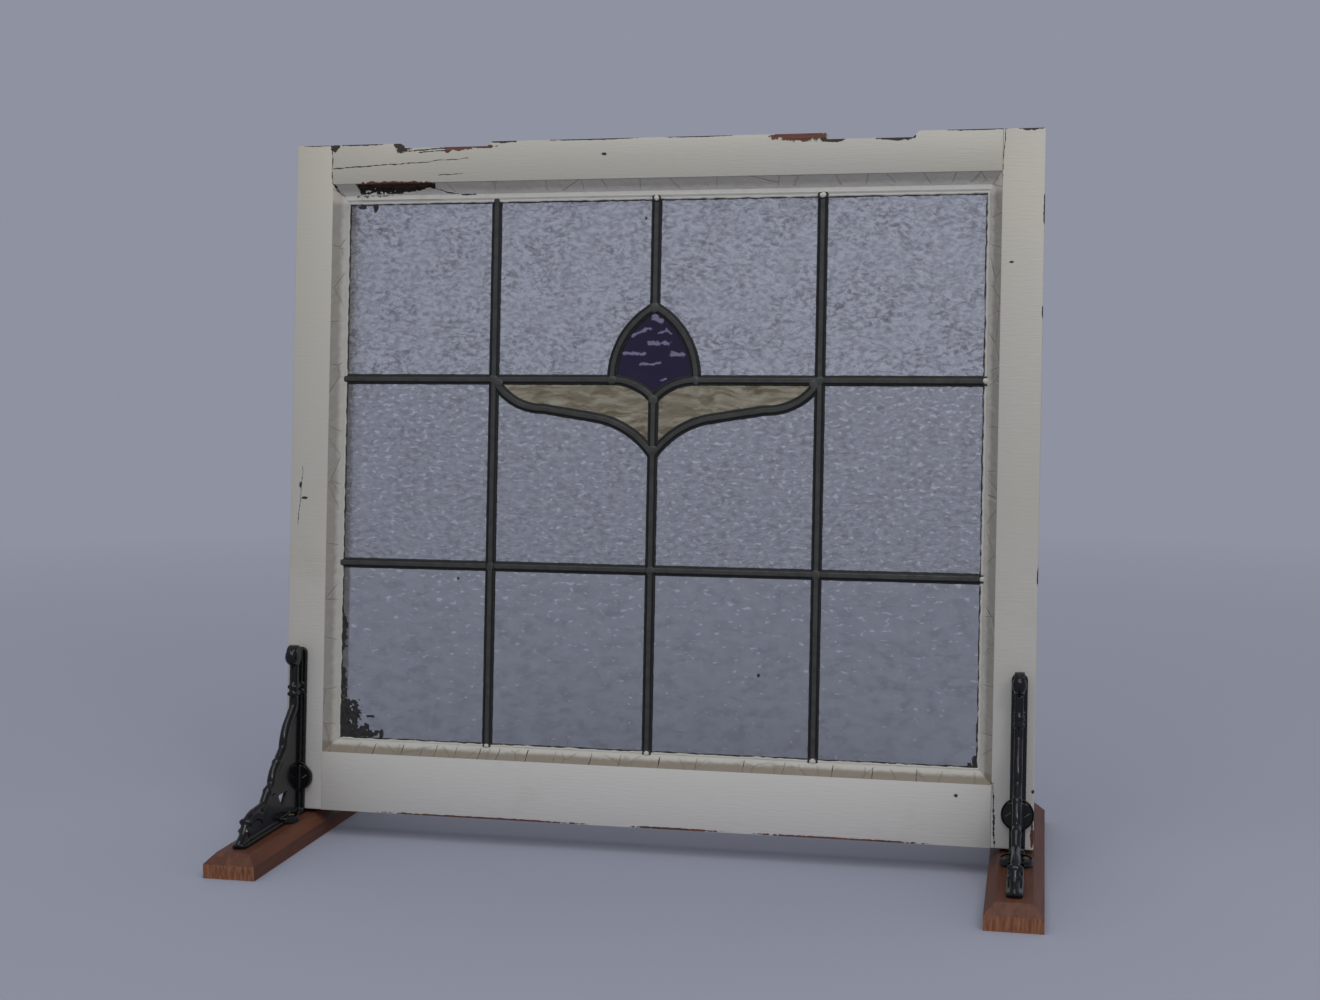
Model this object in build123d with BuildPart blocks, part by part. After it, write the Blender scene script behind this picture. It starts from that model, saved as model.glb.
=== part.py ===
from build123d import *
import os
from math import cos, radians, sin, tan

os.makedirs("parts", exist_ok=True)

# Timber sash, sized by the light that it holds
sash_thickness = 42.0
lean = 5.2
stile_face = 37.0
top_rail_face = 37.0
bottom_rail_face = 55.0
rebate_width = 11.0
ovolo_radius = 8.0
tenon_thickness = 14.0
tenon_length = 30.0
tenon_shoulder = 8.0
left_loss_start = 246.0
left_loss_end = 156.0
left_loss_height = 4.3
right_loss_start = 157.0
right_loss_end = 240.0
right_loss_height = 5.7
loss_depth = 28.0

# Leaded light of four columns and three rows
column_pitch = 153.75
top_row_height = 179.0
middle_row_height = 175.5
bottom_row_height = 174.5
glass_depth = 13.0
glass_thickness = 3.0
came_width = 8.0
came_heart = 1.2
came_crown = 1.6
came_crown_width = 3.2
panel_clearance = 1.5
pane_clearance = 0.8

# Flower motif in the middle of the light
bud_half_width = 39.5
bud_height = 67.5
bud_bulge_x = 24.2
bud_bulge_y = 46.9
bud_drop = 17.5
leaf_dip_x = 22.0
leaf_dip_y = 21.0
leaf_knee_x = 48.75
leaf_knee_y = 27.2
leaf_turn_x = 55.0
leaf_turn_y = 35.0
leaf_drop = 69.5

# Putty fillets that close the rebate
putty_edge = 0.6
putty_width = 11.0
top_putty_width = 16.0
top_lip_width = 6.0
top_lip_rise = 1.6
void_start = 291.0
void_end = 211.0
void_splay = 5.0
void_residue = 3.0

# Foot planks
foot_width = 48.0
foot_thickness = 21.5
foot_chamfer = 9.0
foot_reach = 150.0
foot_overhang = 10.0

# Scroll brackets
bracket_width = 14.0
bracket_plate = 4.0
bracket_corner = 5.5
bracket_height = 158.0
bracket_reach = 131.0
web_thickness = 4.4
rim_thickness = 7.5
rim_width = 7.0
knob_size = 19.0
knob_drop = 6.0
knob_thickness = 9.0
collar_depth = 21.0
collar_height = 2.8
collar_pitch = 6.4
collar_distance = 119.0
collar_thickness = 9.5
lug_width = 29.0
lug_height = 24.0
lug_distance = 34.0
lug_thickness = 5.5
shaft_depth = 18.7
shaft_end = 104.0
upper_leaf_start = 33.0
upper_leaf_top = 90.0
upper_leaf_depth = 41.0
upper_leaf_foot = 70.0
middle_leaf_start = 54.0
middle_leaf_top = 59.0
middle_leaf_depth = 66.0
middle_leaf_foot = 38.0
lower_leaf_start = 73.0
toe_start = 90.0
toe_height = 19.0
toe_end = 118.0
toe_swell = 5.0
toe_tip = 123.0
leaf_swell = 3.5
opening_near = 31.0
opening_far = 51.0
opening_top = 28.0
opening_foot = 14.0

# The sash stands on the planks on its lower rear arris and leans back
lean_radians = radians(lean)
half_depth = sash_thickness / cos(lean_radians) / 2
front_y = -half_depth + sash_thickness * sin(lean_radians) * tan(lean_radians)
front_z = foot_thickness + sash_thickness * sin(lean_radians)
sash_normal = (0, -cos(lean_radians), sin(lean_radians))
sash_front = Plane(origin=(0, front_y, front_z), x_dir=(1, 0, 0), z_dir=sash_normal)
sash_up = (0, sin(lean_radians), cos(lean_radians))
glass_face = sash_front.offset(-glass_depth)

# Lines of the light, measured on the sash front from its bottom edge
border_x = 2 * column_pitch
border_bottom = bottom_rail_face + panel_clearance + came_width / 2
lower_line = border_bottom + bottom_row_height
upper_line = lower_line + middle_row_height
border_top = upper_line + top_row_height

# Rebate walls and outer edges of the sash follow from the light
wall_x = border_x + came_width / 2 + panel_clearance
wall_bottom = bottom_rail_face
wall_top = border_top + came_width / 2 + panel_clearance
bed_depth = glass_depth + glass_thickness + came_crown
stile_width = stile_face + rebate_width
half_width = wall_x + stile_face
sash_height = wall_top + top_rail_face


def across(x, s, normal_x, normal_s):
    """Plane at a point of the glass face whose normal runs in the sash face."""
    origin = glass_face.from_local_coords(Vector(x, s, 0))
    tip = glass_face.from_local_coords(Vector(x + normal_x, s + normal_s, 0))
    side = glass_face.from_local_coords(Vector(x - normal_s, s + normal_x, 0))
    return Plane(origin=origin, x_dir=side - origin, z_dir=tip - origin)


# Stiles run the full height, rebated in front and moulded behind
def stile_section(side):
    with BuildSketch(Plane(origin=sash_front.origin, x_dir=(1, 0, 0), z_dir=sash_up)) as section:
        with BuildLine():
            outer = side * half_width
            wall = side * wall_x
            sight = side * (half_width - stile_width)
            Polyline((outer, 0), (wall, 0), (wall, bed_depth), (sight, bed_depth),
                     (sight, sash_thickness - ovolo_radius))
            ThreePointArc((sight, sash_thickness - ovolo_radius),
                          (sight + side * ovolo_radius * (1 - cos(radians(45))),
                           sash_thickness - ovolo_radius * (1 - sin(radians(45)))),
                          (sight + side * ovolo_radius, sash_thickness))
            Polyline((sight + side * ovolo_radius, sash_thickness), (outer, sash_thickness), (outer, 0))
        make_face()
    return section.sketch


# Each rail has a tenon at both ends that fills its mortise in the stile
def tenon_box(low, high):
    with BuildPart() as tenons:
        with BuildSketch(sash_front.offset(-(sash_thickness - tenon_thickness) / 2)):
            with Locations((0, (low + high) / 2)):
                Rectangle(2 * (half_width - stile_width + tenon_length), high - low)
        extrude(amount=-tenon_thickness)
    return tenons.part


top_tenon = tenon_box(wall_top + tenon_shoulder, sash_height - tenon_shoulder)
bottom_tenon = tenon_box(tenon_shoulder, wall_bottom - tenon_shoulder)

with BuildPart() as left_stile:
    extrude(stile_section(-1), amount=sash_height)
    add(top_tenon, mode=Mode.SUBTRACT)
    add(bottom_tenon, mode=Mode.SUBTRACT)
left_stile.part.label = "left_stile"
export_step(left_stile.part, "parts/left_stile.step")

with BuildPart() as right_stile:
    extrude(stile_section(1), amount=sash_height)
    add(top_tenon, mode=Mode.SUBTRACT)
    add(bottom_tenon, mode=Mode.SUBTRACT)
right_stile.part.label = "right_stile"
export_step(right_stile.part, "parts/right_stile.step")


# Rail section, drawn looking along the sash width, edge on the outer side of the sash
def rail_section(edge, face, inward):
    end = sash_front.from_local_coords(Vector(-wall_x, 0, 0))
    with BuildSketch(Plane(origin=end, x_dir=sash_up, z_dir=(1, 0, 0))) as section:
        with BuildLine():
            wall = edge + inward * face
            sight = wall + inward * rebate_width
            Polyline((edge, 0), (wall, 0), (wall, -bed_depth), (sight, -bed_depth),
                     (sight, ovolo_radius - sash_thickness))
            ThreePointArc((sight, ovolo_radius - sash_thickness),
                          (sight - inward * ovolo_radius * (1 - cos(radians(45))),
                           ovolo_radius * (1 - sin(radians(45))) - sash_thickness),
                          (sight - inward * ovolo_radius, -sash_thickness))
            Polyline((sight - inward * ovolo_radius, -sash_thickness), (edge, -sash_thickness), (edge, 0))
        make_face()
    return section.sketch


with BuildPart() as top_rail:
    extrude(rail_section(sash_height, top_rail_face, -1), amount=2 * wall_x)
    # Two lengths of the front upper edge are broken away
    with BuildSketch(sash_front):
        with BuildLine():
            Polyline((-left_loss_start, sash_height), (-left_loss_start + left_loss_height / 2,
                     sash_height - left_loss_height), (-left_loss_end - left_loss_height,
                     sash_height - left_loss_height), (-left_loss_end, sash_height), close=True)
        make_face()
        with BuildLine():
            Polyline((right_loss_start, sash_height), (right_loss_start, sash_height - right_loss_height),
                     (right_loss_end - right_loss_height, sash_height - right_loss_height),
                     (right_loss_end, sash_height), close=True)
        make_face()
    extrude(amount=-loss_depth, mode=Mode.SUBTRACT)
    add(top_tenon)
    add(left_stile.part, mode=Mode.SUBTRACT)
    add(right_stile.part, mode=Mode.SUBTRACT)
top_rail.part.label = "top_rail"
export_step(top_rail.part, "parts/top_rail.step")

with BuildPart() as bottom_rail:
    extrude(rail_section(0, bottom_rail_face, 1), amount=2 * wall_x)
    add(bottom_tenon)
    add(left_stile.part, mode=Mode.SUBTRACT)
    add(right_stile.part, mode=Mode.SUBTRACT)
bottom_rail.part.label = "bottom_rail"
export_step(bottom_rail.part, "parts/bottom_rail.step")


# Lead came: two rounded flanges joined by a heart, the glass sits in the channels
def came_section(plane):
    half = came_width / 2
    heart = came_heart / 2
    crown = came_crown_width / 2
    back = -glass_thickness
    with BuildSketch(plane) as section:
        with BuildLine():
            Polyline((-heart, back), (-heart, 0), (-half, 0), (-crown, came_crown), (crown, came_crown),
                     (half, 0), (heart, 0), (heart, back), (half, back), (crown, back - came_crown),
                     (-crown, back - came_crown), (-half, back), close=True)
        make_face()
    return section.sketch


def straight_came(start, end):
    run_x = end[0] - start[0]
    run_s = end[1] - start[1]
    length = (run_x ** 2 + run_s ** 2) ** 0.5
    plane = across(start[0], start[1], run_x / length, run_s / length)
    section = came_section(Plane(origin=plane.origin, x_dir=plane.z_dir.cross(-sash_front.z_dir),
                                 z_dir=plane.z_dir))
    with BuildPart() as came:
        extrude(section, amount=length)
    return came.part


half_came = came_width / 2

with BuildPart() as border_came_left:
    add(straight_came((-border_x, border_bottom - half_came), (-border_x, border_top + half_came)))
border_came_left.part.label = "border_came_left"
export_step(border_came_left.part, "parts/border_came_left.step")

with BuildPart() as border_came_right:
    add(straight_came((border_x, border_bottom - half_came), (border_x, border_top + half_came)))
border_came_right.part.label = "border_came_right"
export_step(border_came_right.part, "parts/border_came_right.step")

with BuildPart() as border_came_top:
    add(straight_came((half_came - border_x, border_top), (border_x - half_came, border_top)))
border_came_top.part.label = "border_came_top"
export_step(border_came_top.part, "parts/border_came_top.step")

with BuildPart() as border_came_bottom:
    add(straight_came((half_came - border_x, border_bottom), (border_x - half_came, border_bottom)))
border_came_bottom.part.label = "border_came_bottom"
export_step(border_came_bottom.part, "parts/border_came_bottom.step")

with BuildPart() as column_came_left:
    add(straight_came((-column_pitch, border_bottom + half_came), (-column_pitch, border_top - half_came)))
column_came_left.part.label = "column_came_left"
export_step(column_came_left.part, "parts/column_came_left.step")

with BuildPart() as column_came_right:
    add(straight_came((column_pitch, border_bottom + half_came), (column_pitch, border_top - half_came)))
column_came_right.part.label = "column_came_right"
export_step(column_came_right.part, "parts/column_came_right.step")

with BuildPart() as outer_row_came:
    add(straight_came((half_came - border_x, upper_line), (-column_pitch - half_came, upper_line)))
    add(straight_came((column_pitch + half_came, upper_line), (border_x - half_came, upper_line)))
outer_row_came.part.label = "outer_row_came"
export_step(outer_row_came.part, "parts/outer_row_came.step")


# Outlines of the flower, drawn in the glass face as came centre lines
def draw_bud_side(side):
    ThreePointArc((0, upper_line + bud_height), (side * bud_bulge_x, upper_line + bud_bulge_y),
                  (side * bud_half_width, upper_line))


def draw_bud_base(side):
    bud_radius = (bud_half_width ** 2 + bud_drop ** 2) / 2 / bud_drop
    halfway = bud_half_width / 2
    halfway_drop = bud_radius - (bud_radius ** 2 - halfway ** 2) ** 0.5
    ThreePointArc((side * bud_half_width, upper_line), (side * halfway, upper_line - halfway_drop),
                  (0, upper_line - bud_drop))


def draw_leaf_top(side):
    Line((side * column_pitch, upper_line), (side * bud_half_width, upper_line))
    draw_bud_base(side)


def draw_leaf_under(side):
    knee = (side * (column_pitch - leaf_knee_x), upper_line - leaf_knee_y)
    turn = (side * leaf_turn_x, upper_line - leaf_turn_y)
    ThreePointArc((side * column_pitch, upper_line),
                  (side * (column_pitch - leaf_dip_x), upper_line - leaf_dip_y), knee)
    Line(knee, turn)
    TangentArc(turn, (0, upper_line - leaf_drop), tangent=(turn[0] - knee[0], turn[1] - knee[1]))


# Curved cames are swept along those outlines and end on the centre line
def curved_came(draw, side):
    with BuildLine() as outline:
        draw(side)
    path = glass_face.from_local_coords(Wire(outline.line.edges()))
    start = path.position_at(0)
    along = path.tangent_at(0)
    section = came_section(Plane(origin=start, x_dir=along.cross(-sash_front.z_dir), z_dir=along))
    with BuildPart() as came:
        sweep(sections=section, path=path)
        split(bisect_by=Plane.YZ, keep=Keep.TOP if side > 0 else Keep.BOTTOM)
    return came.part


with BuildPart() as leaf_top_came_left:
    add(curved_came(draw_leaf_top, -1))
    add(column_came_left.part, mode=Mode.SUBTRACT)
leaf_top_came_left.part.label = "leaf_top_came_left"
export_step(leaf_top_came_left.part, "parts/leaf_top_came_left.step")

with BuildPart() as leaf_top_came_right:
    add(curved_came(draw_leaf_top, 1))
    add(column_came_right.part, mode=Mode.SUBTRACT)
leaf_top_came_right.part.label = "leaf_top_came_right"
export_step(leaf_top_came_right.part, "parts/leaf_top_came_right.step")

with BuildPart() as bud_came_left:
    add(curved_came(draw_bud_side, -1))
    add(leaf_top_came_left.part, mode=Mode.SUBTRACT)
bud_came_left.part.label = "bud_came_left"
export_step(bud_came_left.part, "parts/bud_came_left.step")

with BuildPart() as bud_came_right:
    add(curved_came(draw_bud_side, 1))
    add(leaf_top_came_right.part, mode=Mode.SUBTRACT)
bud_came_right.part.label = "bud_came_right"
export_step(bud_came_right.part, "parts/bud_came_right.step")

with BuildPart() as centre_came_upper:
    add(straight_came((0, upper_line + bud_height), (0, border_top - half_came)))
    add(bud_came_left.part, mode=Mode.SUBTRACT)
    add(bud_came_right.part, mode=Mode.SUBTRACT)
centre_came_upper.part.label = "centre_came_upper"
export_step(centre_came_upper.part, "parts/centre_came_upper.step")

with BuildPart() as centre_came_lower:
    add(straight_came((0, border_bottom + half_came), (0, upper_line - bud_drop)))
    add(leaf_top_came_left.part, mode=Mode.SUBTRACT)
    add(leaf_top_came_right.part, mode=Mode.SUBTRACT)
centre_came_lower.part.label = "centre_came_lower"
export_step(centre_came_lower.part, "parts/centre_came_lower.step")

with BuildPart() as leaf_came_left:
    add(curved_came(draw_leaf_under, -1))
    add(column_came_left.part, mode=Mode.SUBTRACT)
    add(leaf_top_came_left.part, mode=Mode.SUBTRACT)
    add(centre_came_lower.part, mode=Mode.SUBTRACT)
leaf_came_left.part.label = "leaf_came_left"
export_step(leaf_came_left.part, "parts/leaf_came_left.step")

with BuildPart() as leaf_came_right:
    add(curved_came(draw_leaf_under, 1))
    add(column_came_right.part, mode=Mode.SUBTRACT)
    add(leaf_top_came_right.part, mode=Mode.SUBTRACT)
    add(centre_came_lower.part, mode=Mode.SUBTRACT)
leaf_came_right.part.label = "leaf_came_right"
export_step(leaf_came_right.part, "parts/leaf_came_right.step")

with BuildPart() as lower_row_came:
    add(straight_came((half_came - border_x, lower_line), (-column_pitch - half_came, lower_line)))
    add(straight_came((half_came - column_pitch, lower_line), (-half_came, lower_line)))
    add(straight_came((half_came, lower_line), (column_pitch - half_came, lower_line)))
    add(straight_came((column_pitch + half_came, lower_line), (border_x - half_came, lower_line)))
lower_row_came.part.label = "lower_row_came"
export_step(lower_row_came.part, "parts/lower_row_came.step")

# Panes, each cut back from the came centre lines that bound it
pane_inset = came_heart / 2 + pane_clearance


def bud_outline():
    with BuildSketch() as face:
        with BuildLine():
            for side in (-1, 1):
                draw_bud_side(side)
                draw_bud_base(side)
        make_face()
    return face.sketch


def leaf_outline(side):
    with BuildSketch() as face:
        with BuildLine():
            draw_leaf_top(side)
            draw_leaf_under(side)
            Line((0, upper_line - bud_drop), (0, upper_line - leaf_drop))
        make_face()
    return face.sketch


def draw_leaf_stem(side):
    Line((0, upper_line - bud_drop), (0, upper_line - leaf_drop))


def flower_pane(name, face, outlines):
    with BuildPart() as pane:
        with BuildSketch(glass_face):
            add(face)
            for draw, side in outlines:
                with BuildLine():
                    draw(side)
                trace(line_width=2 * pane_inset, mode=Mode.SUBTRACT)
        extrude(amount=-glass_thickness)
    pane.part.label = name
    export_step(pane.part, "parts/" + name + ".step")


def grid_pane(name, left, right, bottom, top, removed, outlines):
    with BuildPart() as pane:
        with BuildSketch(glass_face):
            with Locations(((left + right) / 2, (bottom + top) / 2)):
                Rectangle(right - left - 2 * pane_inset, top - bottom - 2 * pane_inset)
            for face in removed:
                add(face, mode=Mode.SUBTRACT)
            for draw, side in outlines:
                with BuildLine():
                    draw(side)
                trace(line_width=2 * pane_inset, mode=Mode.SUBTRACT)
        extrude(amount=-glass_thickness)
    pane.part.label = name
    export_step(pane.part, "parts/" + name + ".step")


bud_face = bud_outline()
leaf_faces = {-1: leaf_outline(-1), 1: leaf_outline(1)}
flower_pane("bud_pane", bud_face, [(draw_bud_side, -1), (draw_bud_side, 1),
                                   (draw_bud_base, -1), (draw_bud_base, 1)])
for leaf_name, side in (("leaf_pane_left", -1), ("leaf_pane_right", 1)):
    flower_pane(leaf_name, leaf_faces[side], [(draw_leaf_top, side), (draw_leaf_under, side),
                                              (draw_leaf_stem, side)])

column_lines = [-border_x, -column_pitch, 0, column_pitch, border_x]
for column in range(4):
    low = column_lines[column]
    high = column_lines[column + 1]
    inner = column in (1, 2)
    leaf_side = -1 if column == 1 else 1
    upper_cut = [bud_face] if inner else []
    upper_lines = [(draw_bud_side, leaf_side)] if inner else []
    middle_cut = [bud_face, leaf_faces[leaf_side]] if inner else []
    middle_lines = [(draw_leaf_under, leaf_side)] if inner else []
    number = str(column + 1)
    grid_pane("top_pane_" + number, low, high, upper_line, border_top, upper_cut, upper_lines)
    grid_pane("middle_pane_" + number, low, high, lower_line, upper_line, middle_cut, middle_lines)
    grid_pane("bottom_pane_" + number, low, high, border_bottom, lower_line, [], [])


# Putty fillets slope from the rebate wall down to the glass and meet in mitres
def putty_strip(corner_a, corner_b, inward, width, side_widths):
    run_x = corner_b[0] - corner_a[0]
    run_s = corner_b[1] - corner_a[1]
    length = (run_x ** 2 + run_s ** 2) ** 0.5
    start = across(corner_a[0], corner_a[1], run_x / length, run_s / length)
    inner = sash_front.from_local_coords(Vector(inward[0], inward[1], 0)) - sash_front.origin
    plane = Plane(origin=start.origin, x_dir=inner, z_dir=start.z_dir)
    up = 1 if plane.y_dir.dot(sash_front.z_dir) > 0 else -1
    came_reach = panel_clearance + came_width
    with BuildPart() as strip:
        with BuildSketch(plane):
            with BuildLine():
                Polyline((0, up * (glass_depth - putty_edge)), (width, up * putty_edge), (width, 0),
                         (came_reach, 0), (came_reach, up * came_crown), (0, up * came_crown),
                         (0, up * (glass_depth - putty_edge)))
            make_face()
        extrude(amount=length)
        ends = (corner_a, 1, side_widths[0]), (corner_b, -1, side_widths[1])
        for corner, way, side_width in ends:
            normal_x = way * run_x / length * width - inward[0] * side_width
            normal_s = way * run_s / length * width - inward[1] * side_width
            size = (normal_x ** 2 + normal_s ** 2) ** 0.5
            mitre = across(corner[0], corner[1], normal_x / size, normal_s / size)
            split(bisect_by=mitre, keep=Keep.TOP)
    return strip.part


with BuildPart() as putty_left:
    add(putty_strip((-wall_x, wall_bottom), (-wall_x, wall_top), (1, 0), putty_width,
                    (putty_width, top_putty_width)))
    add(outer_row_came.part, mode=Mode.SUBTRACT)
    add(lower_row_came.part, mode=Mode.SUBTRACT)
putty_left.part.label = "putty_left"
export_step(putty_left.part, "parts/putty_left.step")

with BuildPart() as putty_right:
    add(putty_strip((wall_x, wall_bottom), (wall_x, wall_top), (-1, 0), putty_width,
                    (putty_width, top_putty_width)))
    add(outer_row_came.part, mode=Mode.SUBTRACT)
    add(lower_row_came.part, mode=Mode.SUBTRACT)
putty_right.part.label = "putty_right"
export_step(putty_right.part, "parts/putty_right.step")

# A lip of putty is smeared on to the glass at the top, where one length has fallen out
with BuildPart() as putty_top:
    add(putty_strip((-wall_x, wall_top), (wall_x, wall_top), (0, -1), top_putty_width,
                    (putty_width, putty_width)))
    with BuildSketch(Plane(origin=across(-wall_x, wall_top, 1, 0).origin, x_dir=sash_up, z_dir=(1, 0, 0))):
        with BuildLine():
            Polyline((-top_putty_width, glass_depth), (-top_putty_width, putty_edge + top_lip_rise),
                     (top_lip_width - top_putty_width, putty_edge + top_lip_rise),
                     (0, glass_depth - putty_edge), (0, glass_depth), close=True)
        make_face()
    extrude(amount=2 * wall_x, mode=Mode.SUBTRACT)
    with BuildSketch(sash_front):
        with BuildLine():
            Polyline((-void_start, wall_top), (-void_start + void_splay, wall_top - top_putty_width),
                     (-void_end - void_splay, wall_top - top_putty_width), (-void_end, wall_top),
                     close=True)
        make_face()
    extrude(amount=void_residue - glass_depth, mode=Mode.SUBTRACT)
    for came in (border_came_left, border_came_right, column_came_left, column_came_right,
                 centre_came_upper):
        add(came.part, mode=Mode.SUBTRACT)
putty_top.part.label = "putty_top"
export_step(putty_top.part, "parts/putty_top.step")

with BuildPart() as putty_bottom:
    add(putty_strip((-wall_x, wall_bottom), (wall_x, wall_bottom), (0, 1), putty_width,
                    (putty_width, putty_width)))
    for came in (column_came_left, column_came_right, centre_came_lower):
        add(came.part, mode=Mode.SUBTRACT)
putty_bottom.part.label = "putty_bottom"
export_step(putty_bottom.part, "parts/putty_bottom.step")

# Foot planks run front to back below the stiles, with bevelled upper edges
foot_x = half_width + foot_overhang - foot_width / 2
foot_length = 2 * (half_depth + foot_reach)


def foot_plank(x):
    with BuildPart() as plank:
        with BuildSketch(Plane(origin=(x, 0, 0), x_dir=(1, 0, 0), z_dir=(0, 0, 1))):
            Rectangle(foot_width, foot_length)
        extrude(amount=foot_thickness)
        chamfer(plank.faces().sort_by(Axis.Z)[-1].edges(), foot_chamfer)
    return plank.part


with BuildPart() as left_foot:
    add(foot_plank(-foot_x))
left_foot.part.label = "left_foot"
export_step(left_foot.part, "parts/left_foot.step")

with BuildPart() as right_foot:
    add(foot_plank(foot_x))
right_foot.part.label = "right_foot"
export_step(right_foot.part, "parts/right_foot.step")


# A leaf lobe of the bracket bulges between two points of its front edge
def draw_lobe(at, start, end, swell):
    run = end[0] - start[0]
    drop = end[1] - start[1]
    length = (run ** 2 + drop ** 2) ** 0.5
    middle = ((start[0] + end[0]) / 2 - drop / length * swell,
              (start[1] + end[1]) / 2 + run / length * swell)
    ThreePointArc(at(start[0], start[1]), at(middle[0], middle[1]), at(end[0], end[1]))


# Front edge of the bracket: shaft, three stepped leaves and a toe scroll, from top to bottom
def draw_leaf_edge(at):
    Polyline(at(shaft_depth, bracket_height), at(shaft_depth, shaft_end),
             at(upper_leaf_start, upper_leaf_top))
    draw_lobe(at, (upper_leaf_start, upper_leaf_top), (upper_leaf_depth, upper_leaf_foot), leaf_swell / 2)
    Line(at(upper_leaf_depth, upper_leaf_foot), at(middle_leaf_start, middle_leaf_top))
    draw_lobe(at, (middle_leaf_start, middle_leaf_top), (middle_leaf_depth, middle_leaf_foot), leaf_swell)
    Polyline(at(middle_leaf_depth, middle_leaf_foot), at(lower_leaf_start, middle_leaf_foot),
             at(toe_start, toe_height))
    draw_lobe(at, (toe_start, toe_height), (toe_end, toe_height), toe_swell)
    Polyline(at(toe_end, toe_height), at(toe_tip, toe_height / 2), at(bracket_reach, bracket_plate))


# Cast bracket: wall plate, base plate and a leaf shaped web with a thicker rim
def scroll_bracket(x, outward):
    corner = (x, outward * half_depth, foot_thickness)
    wall_out = (0, outward * cos(lean_radians), -outward * sin(lean_radians))
    side = Plane(origin=corner, x_dir=(0, outward, 0), z_dir=(outward, 0, 0))
    wall = Plane(origin=corner, x_dir=(-outward, 0, 0), z_dir=wall_out)
    base = Plane(origin=corner, x_dir=(outward, 0, 0), z_dir=(0, 0, 1))
    slope = outward * tan(lean_radians)
    inset = rim_width / 2

    def at(out, up):
        return out + up * slope, up

    def rim_at(out, up):
        return at(out - inset, up - inset / 2)

    with BuildPart() as bracket:
        with BuildSketch(wall):
            with Locations((0, bracket_height / 2)):
                Rectangle(bracket_width, bracket_height)
            fillet(vertices().group_by(Axis.Y)[-1], bracket_corner)
        extrude(amount=bracket_plate)
        with BuildSketch(base):
            with Locations((0, bracket_reach / 2)):
                Rectangle(bracket_width, bracket_reach)
            fillet(vertices().group_by(Axis.Y)[-1], bracket_corner)
        extrude(amount=bracket_plate)
        for plane in (wall, base):
            with BuildSketch(plane):
                with Locations((0, lug_distance)):
                    SlotOverall(lug_width, lug_height)
            extrude(amount=lug_thickness)
        # Web with one triangular opening
        with BuildSketch(side.offset(-web_thickness / 2)):
            with BuildLine():
                draw_leaf_edge(rim_at)
                Polyline(rim_at(bracket_reach, bracket_plate), at(0, 0), at(0, bracket_height - inset),
                         rim_at(shaft_depth, bracket_height))
            make_face()
            with BuildLine():
                Polyline(at(opening_near, opening_top), at(opening_far, opening_top),
                         at((opening_near + opening_far) / 2, opening_foot), close=True)
            make_face(mode=Mode.SUBTRACT)
        extrude(amount=web_thickness)
        # Rim along the front edge, collars round the shaft and a knob on top
        with BuildSketch(side.offset(-rim_thickness / 2)):
            with BuildLine():
                draw_leaf_edge(rim_at)
            trace(line_width=rim_width)
        extrude(amount=rim_thickness)
        with BuildSketch(side.offset(-collar_thickness / 2)):
            for level in (collar_distance - collar_pitch / 2, collar_distance + collar_pitch / 2):
                with Locations(at(collar_depth / 2, level)):
                    Rectangle(collar_depth, collar_height)
        extrude(amount=collar_thickness)
        with BuildSketch(side.offset(-knob_thickness / 2)):
            with Locations(at(shaft_depth - inset / 2, bracket_height - knob_drop)):
                Circle(knob_size / 2)
        extrude(amount=knob_thickness)
        split(bisect_by=Plane(origin=corner, x_dir=(1, 0, 0), z_dir=wall_out), keep=Keep.TOP)
        split(bisect_by=base, keep=Keep.TOP)
    return bracket.part


bracket_places = [("front_bracket_left", -foot_x, -1), ("front_bracket_right", foot_x, -1),
                  ("back_bracket_left", -foot_x, 1), ("back_bracket_right", foot_x, 1)]
for name, x, outward in bracket_places:
    with BuildPart() as placed_bracket:
        add(scroll_bracket(x, outward))
    placed_bracket.part.label = name
    export_step(placed_bracket.part, "parts/" + name + ".step")
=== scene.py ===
from functools import reduce
from math import pi, radians

import bmesh
import bpy
from mathutils import Matrix, Vector
from mathutils.bvhtree import BVHTree
from mathutils.noise import turbulence


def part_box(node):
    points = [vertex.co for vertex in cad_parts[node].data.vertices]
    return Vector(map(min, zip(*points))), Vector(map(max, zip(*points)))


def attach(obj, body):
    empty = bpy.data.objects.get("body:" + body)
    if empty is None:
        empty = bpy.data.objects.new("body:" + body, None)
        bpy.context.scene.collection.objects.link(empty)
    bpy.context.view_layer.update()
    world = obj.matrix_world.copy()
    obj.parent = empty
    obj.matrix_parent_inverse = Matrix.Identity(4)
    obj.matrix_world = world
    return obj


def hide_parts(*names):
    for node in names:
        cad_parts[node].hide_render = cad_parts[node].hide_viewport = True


bl_info = {
    "name": "Leaded Light Window Sash",
    "version": (1, 0, 0),
    "blender": (4, 5, 0),
    "location": "View3D > Sidebar > Leaded Light",
    "description": "Dresses a painted timber sash with its leaded light, putty, brackets and feet",
    "category": "Object",
}

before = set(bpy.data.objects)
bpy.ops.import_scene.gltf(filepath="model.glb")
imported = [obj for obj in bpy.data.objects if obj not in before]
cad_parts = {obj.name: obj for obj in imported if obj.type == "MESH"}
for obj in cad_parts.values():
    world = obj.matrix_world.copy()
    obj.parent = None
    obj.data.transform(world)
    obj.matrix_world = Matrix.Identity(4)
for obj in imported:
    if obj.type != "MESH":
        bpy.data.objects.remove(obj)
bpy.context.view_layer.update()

GLASS_PANES = [f"{row}_pane_{column}" for row in ("top", "middle", "bottom")
               for column in (1, 2, 3, 4)]
LEAF_PANES = ["leaf_pane_left", "leaf_pane_right"]
CAMES = [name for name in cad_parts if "_came" in name]
TIMBERS = ["left_stile", "right_stile", "top_rail", "bottom_rail"]
PUTTY = ["putty_left", "putty_right", "putty_top", "putty_bottom"]
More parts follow.
